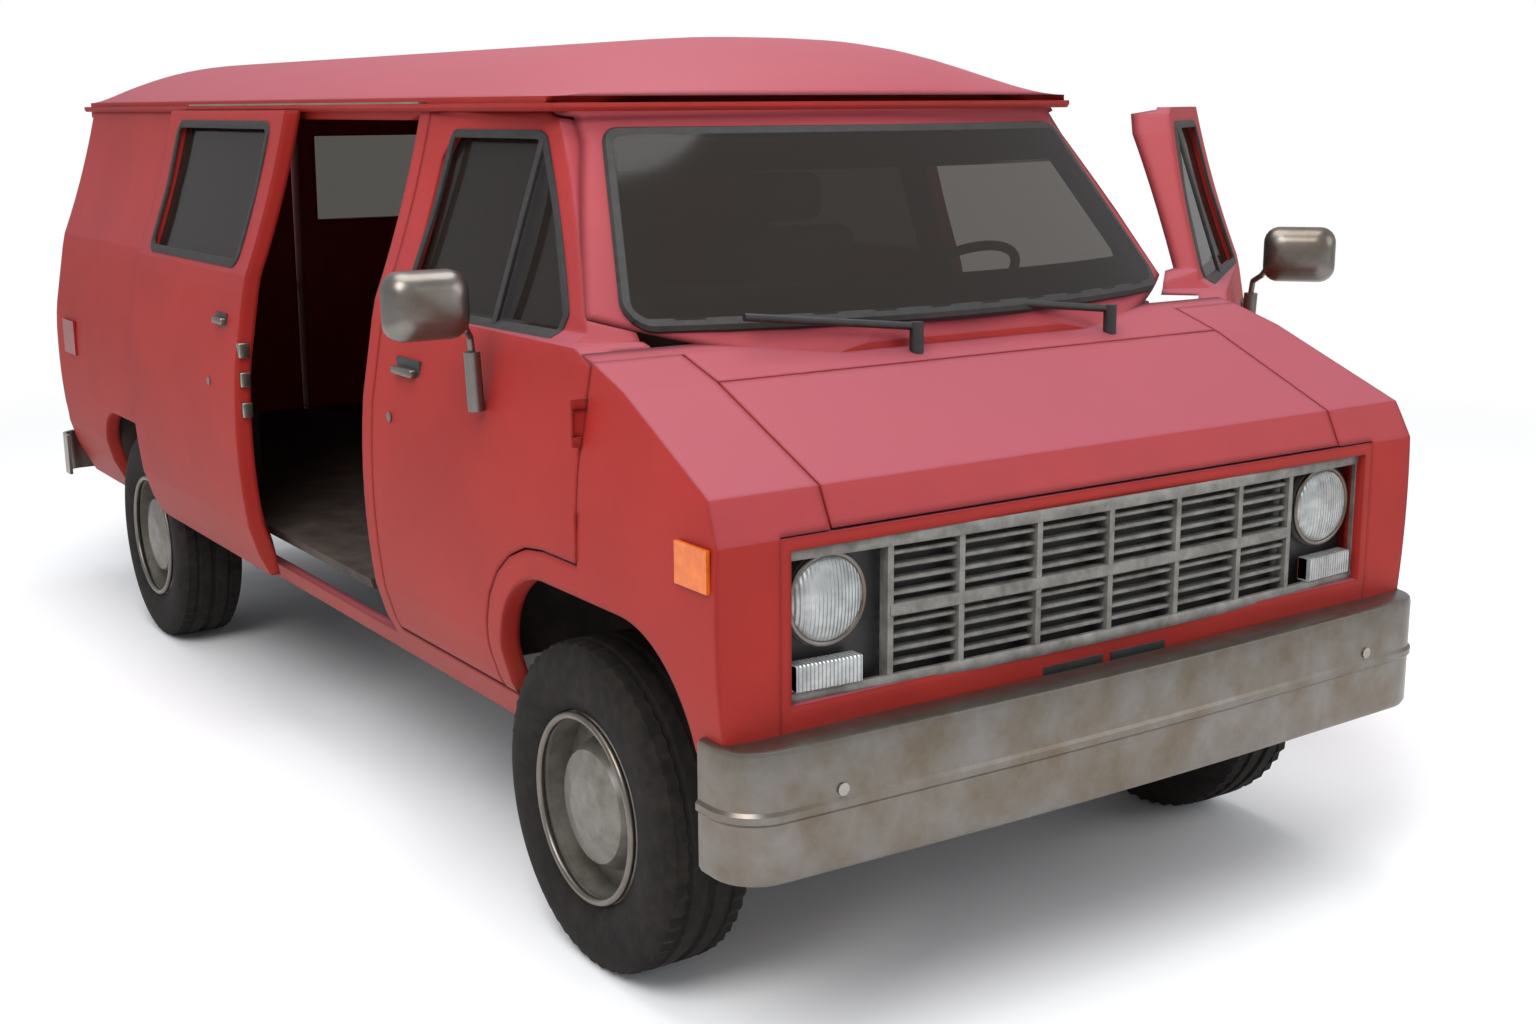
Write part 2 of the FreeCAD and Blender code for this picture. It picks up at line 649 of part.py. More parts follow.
# Doors
window_hole = prism(window_points(0.0), -1200, -560)
window_pane = prism(window_points(s["piece_gap"]), -1200, -560)
door_side = box(2000, 4000, -1200, -s["shelf_half"] + s["door_wall"] + 4, 0, s["belt_height"] - 30)
door_side = door_side.fuse(box(2000, 4000, -1200, -785, s["belt_height"] - 30, s["belt_height"] + 60))
door_side = door_side.fuse(box(2000, 4000, -1200, -640, s["belt_height"] + 60, 2000))
front_door = door_layer.common(front_plug).common(door_side).cut(window_hole).cut(wheel_space)
front_door = joined([front_door] + [door_hinge(z - 30, z + 30, False) for z in hinge_heights])
front_glass = glass_layer.common(window_pane)
hinge_x = s["door_front"] - gap / 2
hinge_y = s["waist_half"]


def swung(shape):
    """The left door's pieces, turned open about the hinge line."""
    turn = FreeCAD.Rotation(Vector(0, 0, 1), -s["door_angle"])
    there = FreeCAD.Placement(Vector(0, 0, 0), turn, Vector(hinge_x, hinge_y, 0))
    return shape.transformed(there.toMatrix(), True)


def moved(shape, by):
    """A copy of a shape, carried along a vector."""
    return shape.transformed(FreeCAD.Placement(by, FreeCAD.Rotation()).toMatrix(), True)


feature("front_door_right", front_door)
feature("front_door_right_glass", front_glass)
feature("front_door_left", swung(mirrored(front_door)))
feature("front_door_left_glass", swung(mirrored(front_glass)))

slide = Vector(s["slider_rear"] - s["opening_rear"] + 20, -s["slider_out"], 0)
slider_points = [(s["opening_rear"] - 20, s["slider_bottom"]), (s["opening_front"] + 50, s["slider_bottom"]),
                 (s["opening_front"] + 50, s["door_head"]), (s["opening_rear"] - 20, s["door_head"])]
slider_window = [(1255, 1440), (2110, 1440), (2110, 1836), (1255, 1836)]
slider_pane = [(1255.3, 1440.3), (2109.7, 1440.3), (2109.7, 1835.7), (1255.3, 1835.7)]
straight_layer = outer.cut(wall_inner)
slider = straight_layer.common(prism(slider_points, -1200, -600)).cut(prism(slider_window, -1200, -560))
rear_space = Part.makeCylinder(s["tyre_radius"] + 14, 300, Vector(0, -985, s["hub_height"]), Vector(0, 1, 0))
bracket = prism([(-surface_half(320, z) - reach, z) for z, reach in ((1300, 0.3), (1300, 20), (1340, 20),
                                                                     (1340, 0.3))], 300, 360, "YZ")
feature("sliding_door", joined([moved(slider, slide).cut(rear_space), bracket]))
slider_glass = glass_layer.common(prism(slider_pane, -1200, -560))
feature("sliding_door_glass", moved(slider_glass, slide))

# Rear doors
rear_zone = prism([(-1200, -s["rear_door_half"]), (-900, -s["rear_door_half"]), (-900, -28), (-1070, -gap / 2),
                   (-1200, -gap / 2)], s["rear_door_foot"], s["rear_door_head"], "XY")


def rear_hinge(z1, z2, side):
    """One barrel and leaf of a rear door's hinge, outside the skin; side 1 is the door's own."""
    x, y = s["rear_end"] - s["hinge_proud"], -s["rear_door_half"] - gap / 4
    skin_x = s["rear_end"] + s["rear_lean"] * max(0.0, z2 - s["waist_height"]) / 958
    barrel = Part.makeCylinder(7, z2 - z1, Vector(x, y, z1))
    y1, y2 = (y, y + 42) if side > 0 else (y - 42, y)
    return barrel.fuse(box(x - 3, skin_x + 8, y1, y2, z1, z2))



rear_window = [(-s["rear_door_half"] + 110, 1420), (-90, 1420), (-90, 1770), (-s["rear_door_half"] + 110, 1770)]
rear_pane = [(-s["rear_door_half"] + 110.3, 1420.3), (-90.3, 1420.3), (-90.3, 1769.7),
             (-s["rear_door_half"] + 110.3, 1769.7)]
rear_door = outer.cut(door_inner).common(rear_zone).cut(prism(rear_window, -1200, -800, "YZ"))
rear_glass = glass_layer.common(prism(rear_pane, -1200, -800, "YZ"))
rear_door = joined([rear_door] + [rear_hinge(z - 40, z, 1) for z in (760, 1560)])
feature("rear_door_right", rear_door)
feature("rear_door_right_glass", rear_glass)
feature("rear_door_left", mirrored(rear_door))
feature("rear_door_left_glass", mirrored(rear_glass))


side_leaves = [rear_hinge(z + 0.3, z + 40, -1) for z in (760, 1560)]
feature("side_panel_right", joined([side_right] + side_leaves))
feature("side_panel_left", mirrored(joined([side_left] + side_leaves)))

# Lamps, grille and bumpers
lamp_x = s.nose_end - 24


def lamp(label, x, y, z, radius, depth):
    """A round lamp, turned about its own axis, which points forward."""
    body = new_body(label)
    sketch = new_sketch(body, "XY_Plane")
    outline(sketch, [(-depth, 0), (0, 0), (0, radius * 0.55), (-depth * 0.22, radius), (-depth * 0.62, radius),
                     (-depth, radius * 0.4)])
    revolve(body, sketch, "H_Axis")
    return body


def both_sides(label, one):
    """Two like pieces of one node, on both sides of the van."""
    pair = Part.makeCompound([one, mirrored(one)])
    return feature(label, pair)


def lamp_shape(x, y, z, radius, depth):
    rear = [(-depth, 0), (0, 0), (0, radius * 0.55), (-depth * 0.22, radius), (-depth * 0.62, radius),
            (-depth, radius * 0.4)]
    face = Part.Face(Part.makePolygon([Vector(a, b, 0) for a, b in rear + rear[:1]]))
    turned = face.revolve(Vector(0, 0, 0), Vector(1, 0, 0), 360)
    return moved(turned, Vector(x, y, z))


lamp_front = s["nose_end"] - 10
both_sides("headlamps", lamp_shape(lamp_front, -s["lamp_half"], s["lamp_height"], s["lamp_radius"],
                                   s["lamp_depth"]))

parking = box(s["nose_end"] - 40, s["nose_end"] - 14, -818, -665, 776, 826)
marker_y = s["waist_half"] - 0.5
front_marker = box(3734, 3848, -marker_y - 8, -marker_y, 1000, 1084)
feature("amber_lamps", Part.makeCompound([parking, mirrored(parking), front_marker, mirrored(front_marker)]))
red_y = s["waist_half"] + 0.2
rear_marker = box(-850, -690, -red_y - 8, -red_y, 960, 1090)
tail = box(s["rear_end"] - 14, s["rear_end"] - s["piece_gap"], -900, -780, 880, 1240)
feature("red_lamps", Part.makeCompound([rear_marker, mirrored(rear_marker), tail, mirrored(tail)]))

# Grille: a surround of bars with louvres behind them, and the lamp bezels beside it
grille_x = s["nose_end"] - 22
half, low, high = s["bezel_half"] - 24.3, s["grille_bottom"] - 1.7, s["grille_top"] + 1.7
plate = box(grille_x - 40, grille_x + 16, -half, half, low, high)
bars = s["grille_bar"]
middle = (low + high) / 2
cell_edges = [-560, -388, -194, 0, 194, 388, 560]
holes = []
for y1, y2 in zip(cell_edges, cell_edges[1:]):
    for z1, z2 in ((low + bars, middle - bars / 2), (middle + bars / 2, high - bars)):
        holes.append(box(grille_x - 60, grille_x + 60, y1 + bars / 2, y2 - bars / 2, z1, z2))
grille = plate.cut(Part.makeCompound(holes))
slats = []
for z1 in [low + bars + (high - low) * (i + 1) / 13 for i in range(12)]:
    if abs(z1 - middle) > bars and z1 < high - bars - 4:
        slats.append(box(grille_x - 40, grille_x + 2, -570, 570, z1, z1 + s["louvre"]))
grille = joined([grille] + slats)
for side in (-1, 1):
    lamp_hole = Part.makeCylinder(s["lamp_radius"] + s["piece_gap"], 120, Vector(grille_x - 60, side * s["lamp_half"],
                                                                      s["lamp_height"]), Vector(1, 0, 0))
    grille = grille.cut(lamp_hole)
    y1, y2 = sorted((side * 664, side * 819))
    grille = grille.cut(box(grille_x - 60, grille_x + 60, y1 + 0.7, y2 - 0.7, 775.7, 826.3))
feature("grille", grille)


def bumper(label, face, inner, low, high, half, irons, ahead):
    """A pressed channel bumper whose ends wrap round the corners."""
    deep = abs(face - inner)
    sign = 1 if ahead else -1
    outside = [Vector(inner, -half, low), Vector(face, -half, low), Vector(face, half, low),
               Vector(inner, half, low)]
    inside_half = half - s["bumper_wall"]
    inside_face = face - sign * s["bumper_wall"]
    inside = [Vector(inner - sign * 5, -inside_half, low - 5), Vector(inside_face, -inside_half, low - 5),
              Vector(inside_face, inside_half, low - 5), Vector(inner - sign * 5, inside_half, low - 5)]
    shell = Part.Face(rounded(outside, [0, deep * 0.6, deep * 0.6, 0])).extrude(Vector(0, 0, high - low))
    cut = Part.Face(rounded(inside, [0, deep * 0.5, deep * 0.5, 0])).extrude(Vector(0, 0, high - low + 10))
    return feature(label, joined([shell.cut(cut)] + irons))


rail_rear, rail_front = -940.0, 3780.0
front_irons = [box(rail_front + 0.3, s["bumper_face"] - 6, side * s["rail_half"] - 25,
                   side * s["rail_half"] + 25, 480, 560) for side in (-1, 1)]
rear_irons = [box(s["rear_bumper_face"] + 6, rail_rear - 0.3, side * s["rail_half"] - 25,
                  side * s["rail_half"] + 25, 465, 493) for side in (-1, 1)]
bumper("front_bumper", s["bumper_face"], s["nose_end"] - 70, s["bumper_low"], s["bumper_high"],
       s["bumper_half"] + 14, front_irons, True)
bumper("rear_bumper", s["rear_bumper_face"], s["rear_end"] + 60, s["rear_bumper_low"], s["rear_bumper_high"],
       s["bumper_half"], rear_irons, False)

# Floors, wheel wells and firewall
inside = hull(s["side_wall"] + s["piece_gap"], s["roof_wall"], True)
well_gap = box(-470, 470, 705, 1200, 0, 2000)
load_floor = box(-950, s["floor_front"], -1200, 1200, s["floor_height"] - s["floor_wall"], s["floor_height"])
load_floor = load_floor.common(inside).cut(well_gap).cut(mirrored(well_gap))
sill = box(-1050, -949, -714, 714, 592, 608).fuse(box(-1054, -1046, -714, 714, 500, 608))
load_floor = joined([load_floor, sill])
feature("load_floor", load_floor)
well = box(-469.7, 469.7, 705.3, 1200, s["floor_height"] - s["floor_wall"], s["well_height"]).common(inside)
well = well.cut(box(-449, 449, 725, 1200, 0, s["well_height"] - 20))
both_sides("wheel_wells", well.common(box(-500, 500, 0, 1200, 0, 2000)))
cab_top = s["cab_floor_height"]
cab_inside = hull(s["door_wall"] + 8, s["roof_wall"], True)
cab = box(s["floor_front"] + 0.3, s["firewall"] + 24, -1200, 1200, cab_top - 30, cab_top).common(cab_inside)
wheel_gap = box(2780, 3400, 545, 1200, 0, 860)
fire = box(s["firewall"], s["firewall"] + 24, -880, 880, cab_top - 30, 1290).common(cab_inside)
cab = cab.cut(box(2660, 3400, -250, 250, 0, 800)).cut(wheel_gap).cut(mirrored(wheel_gap))
fire = fire.cut(box(3000, 3400, -250, 250, 0, 1000))
fire = fire.cut(wheel_gap).cut(mirrored(wheel_gap))
front_well = box(2760, s["firewall"] + 24, 525, 545, cab_top - 30, 880).fuse(
    box(2760, 2780, 525, 1200, cab_top - 30, 880)).fuse(
    box(2760, s["firewall"] + 24, 525, 1200, 860, 880)).common(cab_inside)
cab = joined([cab, fire, front_well, mirrored(front_well)])
feature("cab_floor", cab)

# Frame, suspension and driveline
rail_top = s["floor_height"] - s["floor_wall"] - s["piece_gap"]
rail_low = rail_top - s["rail_height"]
both_sides("frame_rails", box(rail_rear, rail_front, -s["rail_half"] - 31, -s["rail_half"] + 31, rail_low, rail_top))
cross_half = s["rail_half"] - 31 - s["piece_gap"]
crosses = [box(x, x + 80, -cross_half, cross_half, rail_top - 70, rail_top - 20) for x in (-940, -560, 700, 1500, 3700)]
feature("cross_members", Part.makeCompound(crosses))

axle_x = s["wheelbase"]
king = s["kingpin_half"]
arms = [box(axle_x - 75, axle_x + 75, -500, 500, 300, rail_low - 0.3)]
for side in (-1, 1):
    y1, y2 = sorted((side * 470, side * 500))
    arms.append(box(axle_x - 60, axle_x + 60, y1, y2, 240, 506))
    y1, y2 = sorted((side * 480, side * (king + 30)))
    arms.append(box(axle_x - 45, axle_x + 45, y1, y2, 484.3, 506))
    arms.append(box(axle_x - 45, axle_x + 45, y1, y2, 240, 263.7))
feature("front_suspension", joined(arms))

hub = s["hub_height"]


def spun(points, x, y, z, side):
    """A solid turned about the wheel's axle line, from (radius, reach outwards) points."""
    spots = [Vector(r, side * out, 0) for r, out in points + points[:1]]
    face = Part.Face(Part.makePolygon(spots))
    return moved(face.revolve(Vector(0, 0, 0), Vector(0, 1, 0), 360), Vector(x, y, z))


def knuckle(side):
    boss = Part.makeCylinder(26, 220, Vector(axle_x, side * king, 264))
    spindle = spun([(0, 0), (36, 0), (36, 60), (30, 60), (30, s["track_front"] / 2 - king + 88),
                    (0, s["track_front"] / 2 - king + 88)], axle_x, side * king, hub, side)
    drum = spun([(0, 55), (150, 55), (150, 95), (0, 95)], axle_x, side * king, hub, side)
    return joined([boss, spindle, drum])


feature("knuckle_right", knuckle(-1))
feature("knuckle_left", knuckle(1))

rear_half = s["track_rear"] / 2
tube = [spun([(0, 0), (42, 0), (42, rear_half - 40), (150, rear_half - 40), (150, rear_half - 5),
              (30, rear_half - 5), (30, rear_half + 88), (0, rear_half + 88)], 0, 0, hub, side)
        for side in (-1, 1)]
diff = Part.makeSphere(s["diff_radius"], Vector(0, 0, hub))
springs = []
for side in (-1, 1):
    y1 = side * s["rail_half"] - 31
    arc_low = Part.Arc(Vector(-720, y1, rail_low - 20.3), Vector(-30, y1, hub - 82), Vector(660, y1, rail_low - 20.3))
    arc_high = Part.Arc(Vector(-720, y1, rail_low - 0.3), Vector(-30, y1, hub - 40), Vector(660, y1, rail_low - 0.3))
    wire = Part.Wire([arc_low.toShape(), Part.makeLine(Vector(660, y1, rail_low - 20.3), Vector(660, y1, rail_low - 0.3)),
                      arc_high.toShape(), Part.makeLine(Vector(-720, y1, rail_low - 0.3), Vector(-720, y1, rail_low - 20.3))])
    springs.append(Part.Face(wire).extrude(Vector(0, 62, 0)))
feature("rear_axle", joined(tube + [diff] + springs))

engine = padded_block("engine_block", [(2720, rail_low), (3240, rail_low), (3240, 980), (2720, 980)], "XZ_Plane", 420, None)
place(engine)
drive = [Part.makeCylinder(80, 620, Vector(2719.7, 0, 480), Vector(-1, 0, 0)),
         Part.makeCylinder(38, 1962.3, Vector(2110, 0, 480), Vector(-2110, 0, -106))]
feature("driveline", joined(drive))
tank = padded_block("fuel_tank", [(-900, -250), (-540, -250), (-540, 300), (-900, 300)], "XY_Plane", 200, 40)
place(tank, 0, 0, rail_top - 70 - 0.3 - 100)

exhaust = joined([Part.makeCylinder(28, 3500, Vector(2500, -305, 452), Vector(-1, 0, 0)),
                  Part.makeCylinder(80, 600, Vector(1450, -305, 452), Vector(-1, 0, 0)),
                  box(1180, 1200, -320, -290, 500, 591.7), box(2300, 2320, -320, -290, 470, 591.7)])
feature("exhaust", exhaust)

# Cabin
def seat(label, side):
    x, y = s["seat_x"], side * s["seat_centre"]
    half_w = s["seat_width"] / 2
    base = box(x + 40, x + s["seat_depth"] - 40, y - half_w + 60, y + half_w - 60, cab_top + 0.3, 760)
    pad_ = box(x, x + s["seat_depth"], y - half_w, y + half_w, 760, s["seat_height"])
    back = Part.Face(Part.makePolygon([Vector(x + 30, y - half_w, 860), Vector(x + 150, y - half_w, 860),
                                       Vector(x + 30, y - half_w, s["back_top"]),
                                       Vector(x - 70, y - half_w, s["back_top"]),
                                       Vector(x + 30, y - half_w, 860)])).extrude(Vector(0, 2 * half_w, 0))
    return feature(label, joined([base, pad_, back]))


seat("seat_left", 1)
dash = Part.Face(Part.makePolygon([Vector(x, -830, z) for x, z in (
    (s["dash_back"] + 60, 1180), (s["firewall"] - 0.3, 1130), (s["firewall"] - 0.3, 1290),
    (3150, s["dash_top"] - 30), (s["dash_back"], s["dash_top"]), (s["dash_back"], 1300),
    (s["dash_back"] + 60, 1180))])).extrude(Vector(0, 1660, 0))
feature("dashboard", dash.common(hull(70.0, 60.0, True)).cut(screen_tool(s["side_wall"] + 20)))
cover = box(s["cover_back"], s["firewall"] - 0.3, -s["cover_half"], s["cover_half"], cab_top + 0.3, s["cover_top"])
cover = cover.cut(box(s["cover_back"] + 20, 4000, -s["cover_half"] + 20, s["cover_half"] - 20, 0, s["cover_top"] - 20))
feature("engine_cover", cover)
wheel_centre = Vector(2790, s["seat_centre"], 1400)
axis = Vector(-0.62, 0, 0.785)
ring = Part.makeTorus(s["steering_radius"], 13, wheel_centre, axis)
column = Part.makeCylinder(24, 330, wheel_centre + axis * 0, axis * -1)
spokes = Part.makeCylinder(10, 2 * s["steering_radius"], wheel_centre - Vector(0, s["steering_radius"], 0),
                           Vector(0, 1, 0))
hub_cap = Part.makeCylinder(46, 40, wheel_centre - axis * 20, axis)
feature("steering_wheel", joined([ring, column, spokes, hub_cap]).cut(dash))

# Wheels
tyre_profile = [(208.3, 81), (224, 81.4), (252, 106), (300, 113), (344, 105), (368, 84), (374, 62)]
tyre_section = tyre_profile + [(r, -y) for r, y in reversed(tyre_profile)]
rim_section = [(0, 104), (70, 100), (128, 84), (140, 62), (152, 40), (200, 30), (200, 88), (221, 88), (221, 82),
               (208, 82), (208, -82), (221, -82), (221, -88), (200, -88), (200, 20), (148, 28), (106, 50),
               (30.3, 50), (30.3, 94), (0, 94)]


def wheel(name, x, half, turn):
    for kind, section in (("rim", rim_section), ("tyre", tyre_section)):
        body = new_body(f"{name}_{kind}")
        sketch = new_sketch(body, "XY_Plane")
        outline(sketch, [(r, -y) for r, y in section])
        revolve(body, sketch, "V_Axis")
        place(body, x, half, s.hub_height, turn)


wheel("wheel_front_right", s.wheelbase, -s.track_front / 2, None)
wheel("wheel_front_left", s.wheelbase, s.track_front / 2, (Vector(0, 0, 1), 180))
wheel("wheel_rear_right", 0, -s.track_rear / 2, None)
wheel("wheel_rear_left", 0, s.track_rear / 2, (Vector(0, 0, 1), 180))

# Mirrors, wipers, slider track
mirror_y = -(s["waist_half"] + 70)
mirror_head = box(2900, 2960, mirror_y - 200, mirror_y, 1390, 1550)
mirror_arm = box(2918, 2942, mirror_y - 20, -surface_half(2930, 1300) + 4, 1370, 1395)
mirror_foot = box(2880, 2980, -surface_half(2930, 1230) - 26, -surface_half(2930, 1230) + 20, 1225, 1372)
mirror = joined([mirror_head, mirror_arm, mirror_foot]).cut(outer)
feature("front_door_right_mirror", mirror)
feature("front_door_left_mirror", swung(mirrored(mirror)))

wipers = []
for y in (-180, 420):
    foot = Vector(3446, y, 1384)
    wipers.append(Part.makeCylinder(9, 420, Vector(3420, y, 1400), Vector(-0.2, -1, 0.1)))
    wipers.append(Part.makeCylinder(16, 120, Vector(3420, y, 1290), Vector(0, 0, 1)))
feature("wipers", Part.makeCompound([joined(wipers[:2]), joined(wipers[2:])]).cut(hull(-0.3, -0.3, False)))
track_z = 1905
track = box(300, 2190, -s["gutter_half"] - 16, -s["gutter_half"] + 6, 1892, 1900).cut(roof)
feature("slider_track", track)

doc.recompute()
for item in doc.Objects:
    for bad in ("Invalid", "Error"):
        if bad in item.State:
            raise RuntimeError(f"{item.Name} did not build: {item.State}")
for item in finished:
    if item.Shape.isNull() or not item.Shape.isValid():
        print("bad", item.Label)
for item in finished:
    if item.Shape.isNull() or not item.Shape.isValid():
        raise RuntimeError(f"{item.Label} has no valid shape")

os.makedirs("parts", exist_ok=True)
for item in finished:
    item.Shape.exportStep(f"parts/{item.Label}.step")
    spread = item.Shape.optimalBoundingBox(False)
    ends = (spread.XMin, spread.YMin, spread.ZMin, spread.XMax, spread.YMax, spread.ZMax)
    print(item.Label, len(item.Shape.Solids), round(item.Shape.Volume / 1e6, 2), [round(v) for v in ends])
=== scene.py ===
"""Looks of the panel van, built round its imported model.

Lengths are metres in the van's own frame: X forward from the rear axle, Y to the van's left,
Z up from the load floor, whose top face lies 0.622 m above the ground.
"""

import json
import logging
import math
from dataclasses import dataclass, field
from enum import Enum
from typing import Any, Callable, Optional, Sequence

import bpy
from mathutils import Matrix, Quaternion, Vector


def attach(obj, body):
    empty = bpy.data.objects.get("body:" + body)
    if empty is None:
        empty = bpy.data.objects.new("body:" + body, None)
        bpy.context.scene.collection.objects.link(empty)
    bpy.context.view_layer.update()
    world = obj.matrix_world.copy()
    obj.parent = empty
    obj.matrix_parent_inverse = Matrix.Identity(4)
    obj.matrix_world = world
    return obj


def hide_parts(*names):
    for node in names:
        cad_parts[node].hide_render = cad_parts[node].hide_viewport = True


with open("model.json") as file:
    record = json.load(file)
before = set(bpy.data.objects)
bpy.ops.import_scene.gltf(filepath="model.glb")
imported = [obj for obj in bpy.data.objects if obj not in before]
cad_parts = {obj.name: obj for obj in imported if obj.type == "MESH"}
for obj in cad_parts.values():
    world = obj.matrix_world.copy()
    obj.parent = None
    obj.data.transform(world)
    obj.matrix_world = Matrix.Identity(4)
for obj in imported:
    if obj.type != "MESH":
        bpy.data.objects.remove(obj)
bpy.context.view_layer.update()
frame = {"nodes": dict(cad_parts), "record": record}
LOG = logging.getLogger("van")

MM = 0.001
GROUND = -0.622

Point = tuple[float, float, float]


class Body(Enum):
    """The moving bodies that pieces ride on."""

    ROOT = "root"
    FRONT_DOOR_RIGHT = "front_door_right"
    FRONT_DOOR_LEFT = "front_door_left"
    REAR_DOOR_RIGHT = "rear_door_right"
    WHEEL_FRONT_RIGHT = "wheel_front_right"
    WHEEL_FRONT_LEFT = "wheel_front_left"
    WHEEL_REAR_RIGHT = "wheel_rear_right"
    WHEEL_REAR_LEFT = "wheel_rear_left"


def linear(colour: str) -> tuple[float, float, float, float]:
    """Turn an sRGB hex colour into linear values.

    Args:
        colour: Six hex digits after a hash sign.

    Returns:
        Linear red, green, blue and an alpha of one.
    """
    channels = [int(colour[i:i + 2], 16) / 255 for i in (1, 3, 5)]
    curve = [c / 12.92 if c <= 0.04045 else ((c + 0.055) / 1.055) ** 2.4 for c in channels]
    return (curve[0], curve[1], curve[2], 1.0)


def add_node(tree: bpy.types.NodeTree, kind: str, settings: Optional[dict[str, Any]] = None,
             inputs: Optional[dict[Any, Any]] = None) -> bpy.types.Node:
    """Add one shader node.

    Args:
        tree: The material's node tree.
        kind: The node's type name.
        settings: Node properties to set.
        inputs: Socket values or the output sockets that feed them, by socket name or number.

    Returns:
        The new node.
    """
    made = tree.nodes.new(kind)
    for name, value in (settings or {}).items():
        setattr(made, name, value)
    for name, value in (inputs or {}).items():
        if isinstance(value, bpy.types.NodeSocket):
            tree.links.new(value, made.inputs[name])
        else:
            made.inputs[name].default_value = value
    return made


# Finishes


@dataclass(frozen=True)
class Finish:
    """A surface finish whose plain values sit on the shader's own sockets."""

    name: str
    colour: str
    roughness: float
    metallic: float = 0.0
    ior: float = 1.5
    mottle: str = ""
    mottle_mm: float = 120.0
    grain_mm: float = 0.0
    grain_depth: float = 0.0
    specular: float = 0.5

    def material(self) -> bpy.types.Material:
        """Build the material.

        Returns:
            The finished material.
        """
        made = bpy.data.materials.new(self.name)
        made.use_nodes = True
        tree = made.node_tree
        shader = tree.nodes["Principled BSDF"]
        shader.inputs["Base Color"].default_value = linear(self.colour)
        shader.inputs["Roughness"].default_value = self.roughness
        shader.inputs["Metallic"].default_value = self.metallic
        shader.inputs["Specular IOR Level"].default_value = self.specular
        if self.metallic < 0.5:
            shader.inputs["IOR"].default_value = self.ior
        spots = add_node(tree, "ShaderNodeTexCoord").outputs["Object"]
        if self.mottle:
            tree.links.new(self.cloud(tree, spots), shader.inputs["Base Color"])
        if self.grain_mm:
            tree.links.new(self.grain(tree, spots), shader.inputs["Normal"])
        self.dress(tree, shader, spots)
        return made

    def cloud(self, tree: bpy.types.NodeTree, spots: bpy.types.NodeSocket) -> bpy.types.NodeSocket:
        """Mottle the colour in soft patches.

        Args:
            tree: The node tree.
            spots: Where the pattern is read.

        Returns:
            The colour's output socket.
        """
        noise = add_node(tree, "ShaderNodeTexNoise", None, {
            "Vector": spots, "Scale": 1 / (self.mottle_mm * MM), "Detail": 6.0, "Roughness": 0.62})
        ramp = add_node(tree, "ShaderNodeMapRange", None, {
            "Value": noise.outputs["Fac"], "From Min": 0.35, "From Max": 0.68})
        mix = add_node(tree, "ShaderNodeMix", {"data_type": "RGBA"}, {
            "Factor": ramp.outputs["Result"], 6: linear(self.colour), 7: linear(self.mottle)})
        return mix.outputs[2]

    def grain(self, tree: bpy.types.NodeTree, spots: bpy.types.NodeSocket) -> bpy.types.NodeSocket:
        """Raise a fine grain on the surface.

        Args:
            tree: The node tree.
            spots: Where the pattern is read.

        Returns:
            The normal's output socket.
        """
        noise = add_node(tree, "ShaderNodeTexNoise", None, {
            "Vector": spots, "Scale": 1 / (self.grain_mm * MM), "Detail": 3.0})
        bump = add_node(tree, "ShaderNodeBump", None, {
            "Strength": 0.5, "Distance": self.grain_depth * MM, "Height": noise.outputs["Fac"]})
        return bump.outputs["Normal"]

    def dress(self, tree: bpy.types.NodeTree, shader: bpy.types.Node,
              spots: bpy.types.NodeSocket) -> None:
        """Add what only this finish has; a plain finish adds nothing."""


@dataclass(frozen=True)
class DustyPaintWithSkyReflection(Finish):
    """Old enamel with a painted pink sky reflection on the faces that point up, and duller where dust has
    settled low down.
    """

    sky_reflection: str = "#904C58"
    dusty: str = "#7C4034"
    dust_top: float = 0.15
    crease_mm: float = 22.0

    def dress(self, tree: bpy.types.NodeTree, shader: bpy.types.Node,
              spots: bpy.types.NodeSocket) -> None:
        """Paint a pink sky reflection on the upward faces and dust the lower ones.

        Args:
            tree: The node tree.
            shader: Takes the finished colour and the softened creases.
            spots: Where the patterns are read.
        """
        base = self.cloud(tree, spots)
        normal = add_node(tree, "ShaderNodeNewGeometry").outputs["Normal"]
        up = add_node(tree, "ShaderNodeSeparateXYZ", None, {0: normal}).outputs["Z"]
        # Painted sky reflection: faces that point up are mixed towards a pale pink.
        facing = add_node(tree, "ShaderNodeMapRange", None, {
            "Value": up, "From Min": 0.15, "From Max": 0.9, "To Max": 0.75})
        sky_reflection_mix = add_node(tree, "ShaderNodeMix", {"data_type": "RGBA"}, {
            "Factor": facing.outputs["Result"], 6: base, 7: linear(self.sky_reflection)})
        height = add_node(tree, "ShaderNodeSeparateXYZ", None, {0: spots}).outputs["Z"]
        grime = add_node(tree, "ShaderNodeTexNoise", None, {"Vector": spots, "Scale": 9.0, "Detail": 8.0})
        low = add_node(tree, "ShaderNodeMapRange", None, {
            "Value": height, "From Min": self.dust_top, "From Max": GROUND + 0.4, "To Max": 0.8})
        share = add_node(tree, "ShaderNodeMath", {"operation": "MULTIPLY"}, {
            0: low.outputs["Result"], 1: grime.outputs["Fac"]})
        dust = add_node(tree, "ShaderNodeMix", {"data_type": "RGBA"}, {
            "Factor": share.outputs[0], 6: sky_reflection_mix.outputs[2], 7: linear(self.dusty)})
        tree.links.new(dust.outputs[2], shader.inputs["Base Color"])
        soft = add_node(tree, "ShaderNodeBevel", {"samples": 4}, {"Radius": self.crease_mm * MM})
        tree.links.new(soft.outputs["Normal"], shader.inputs["Normal"])


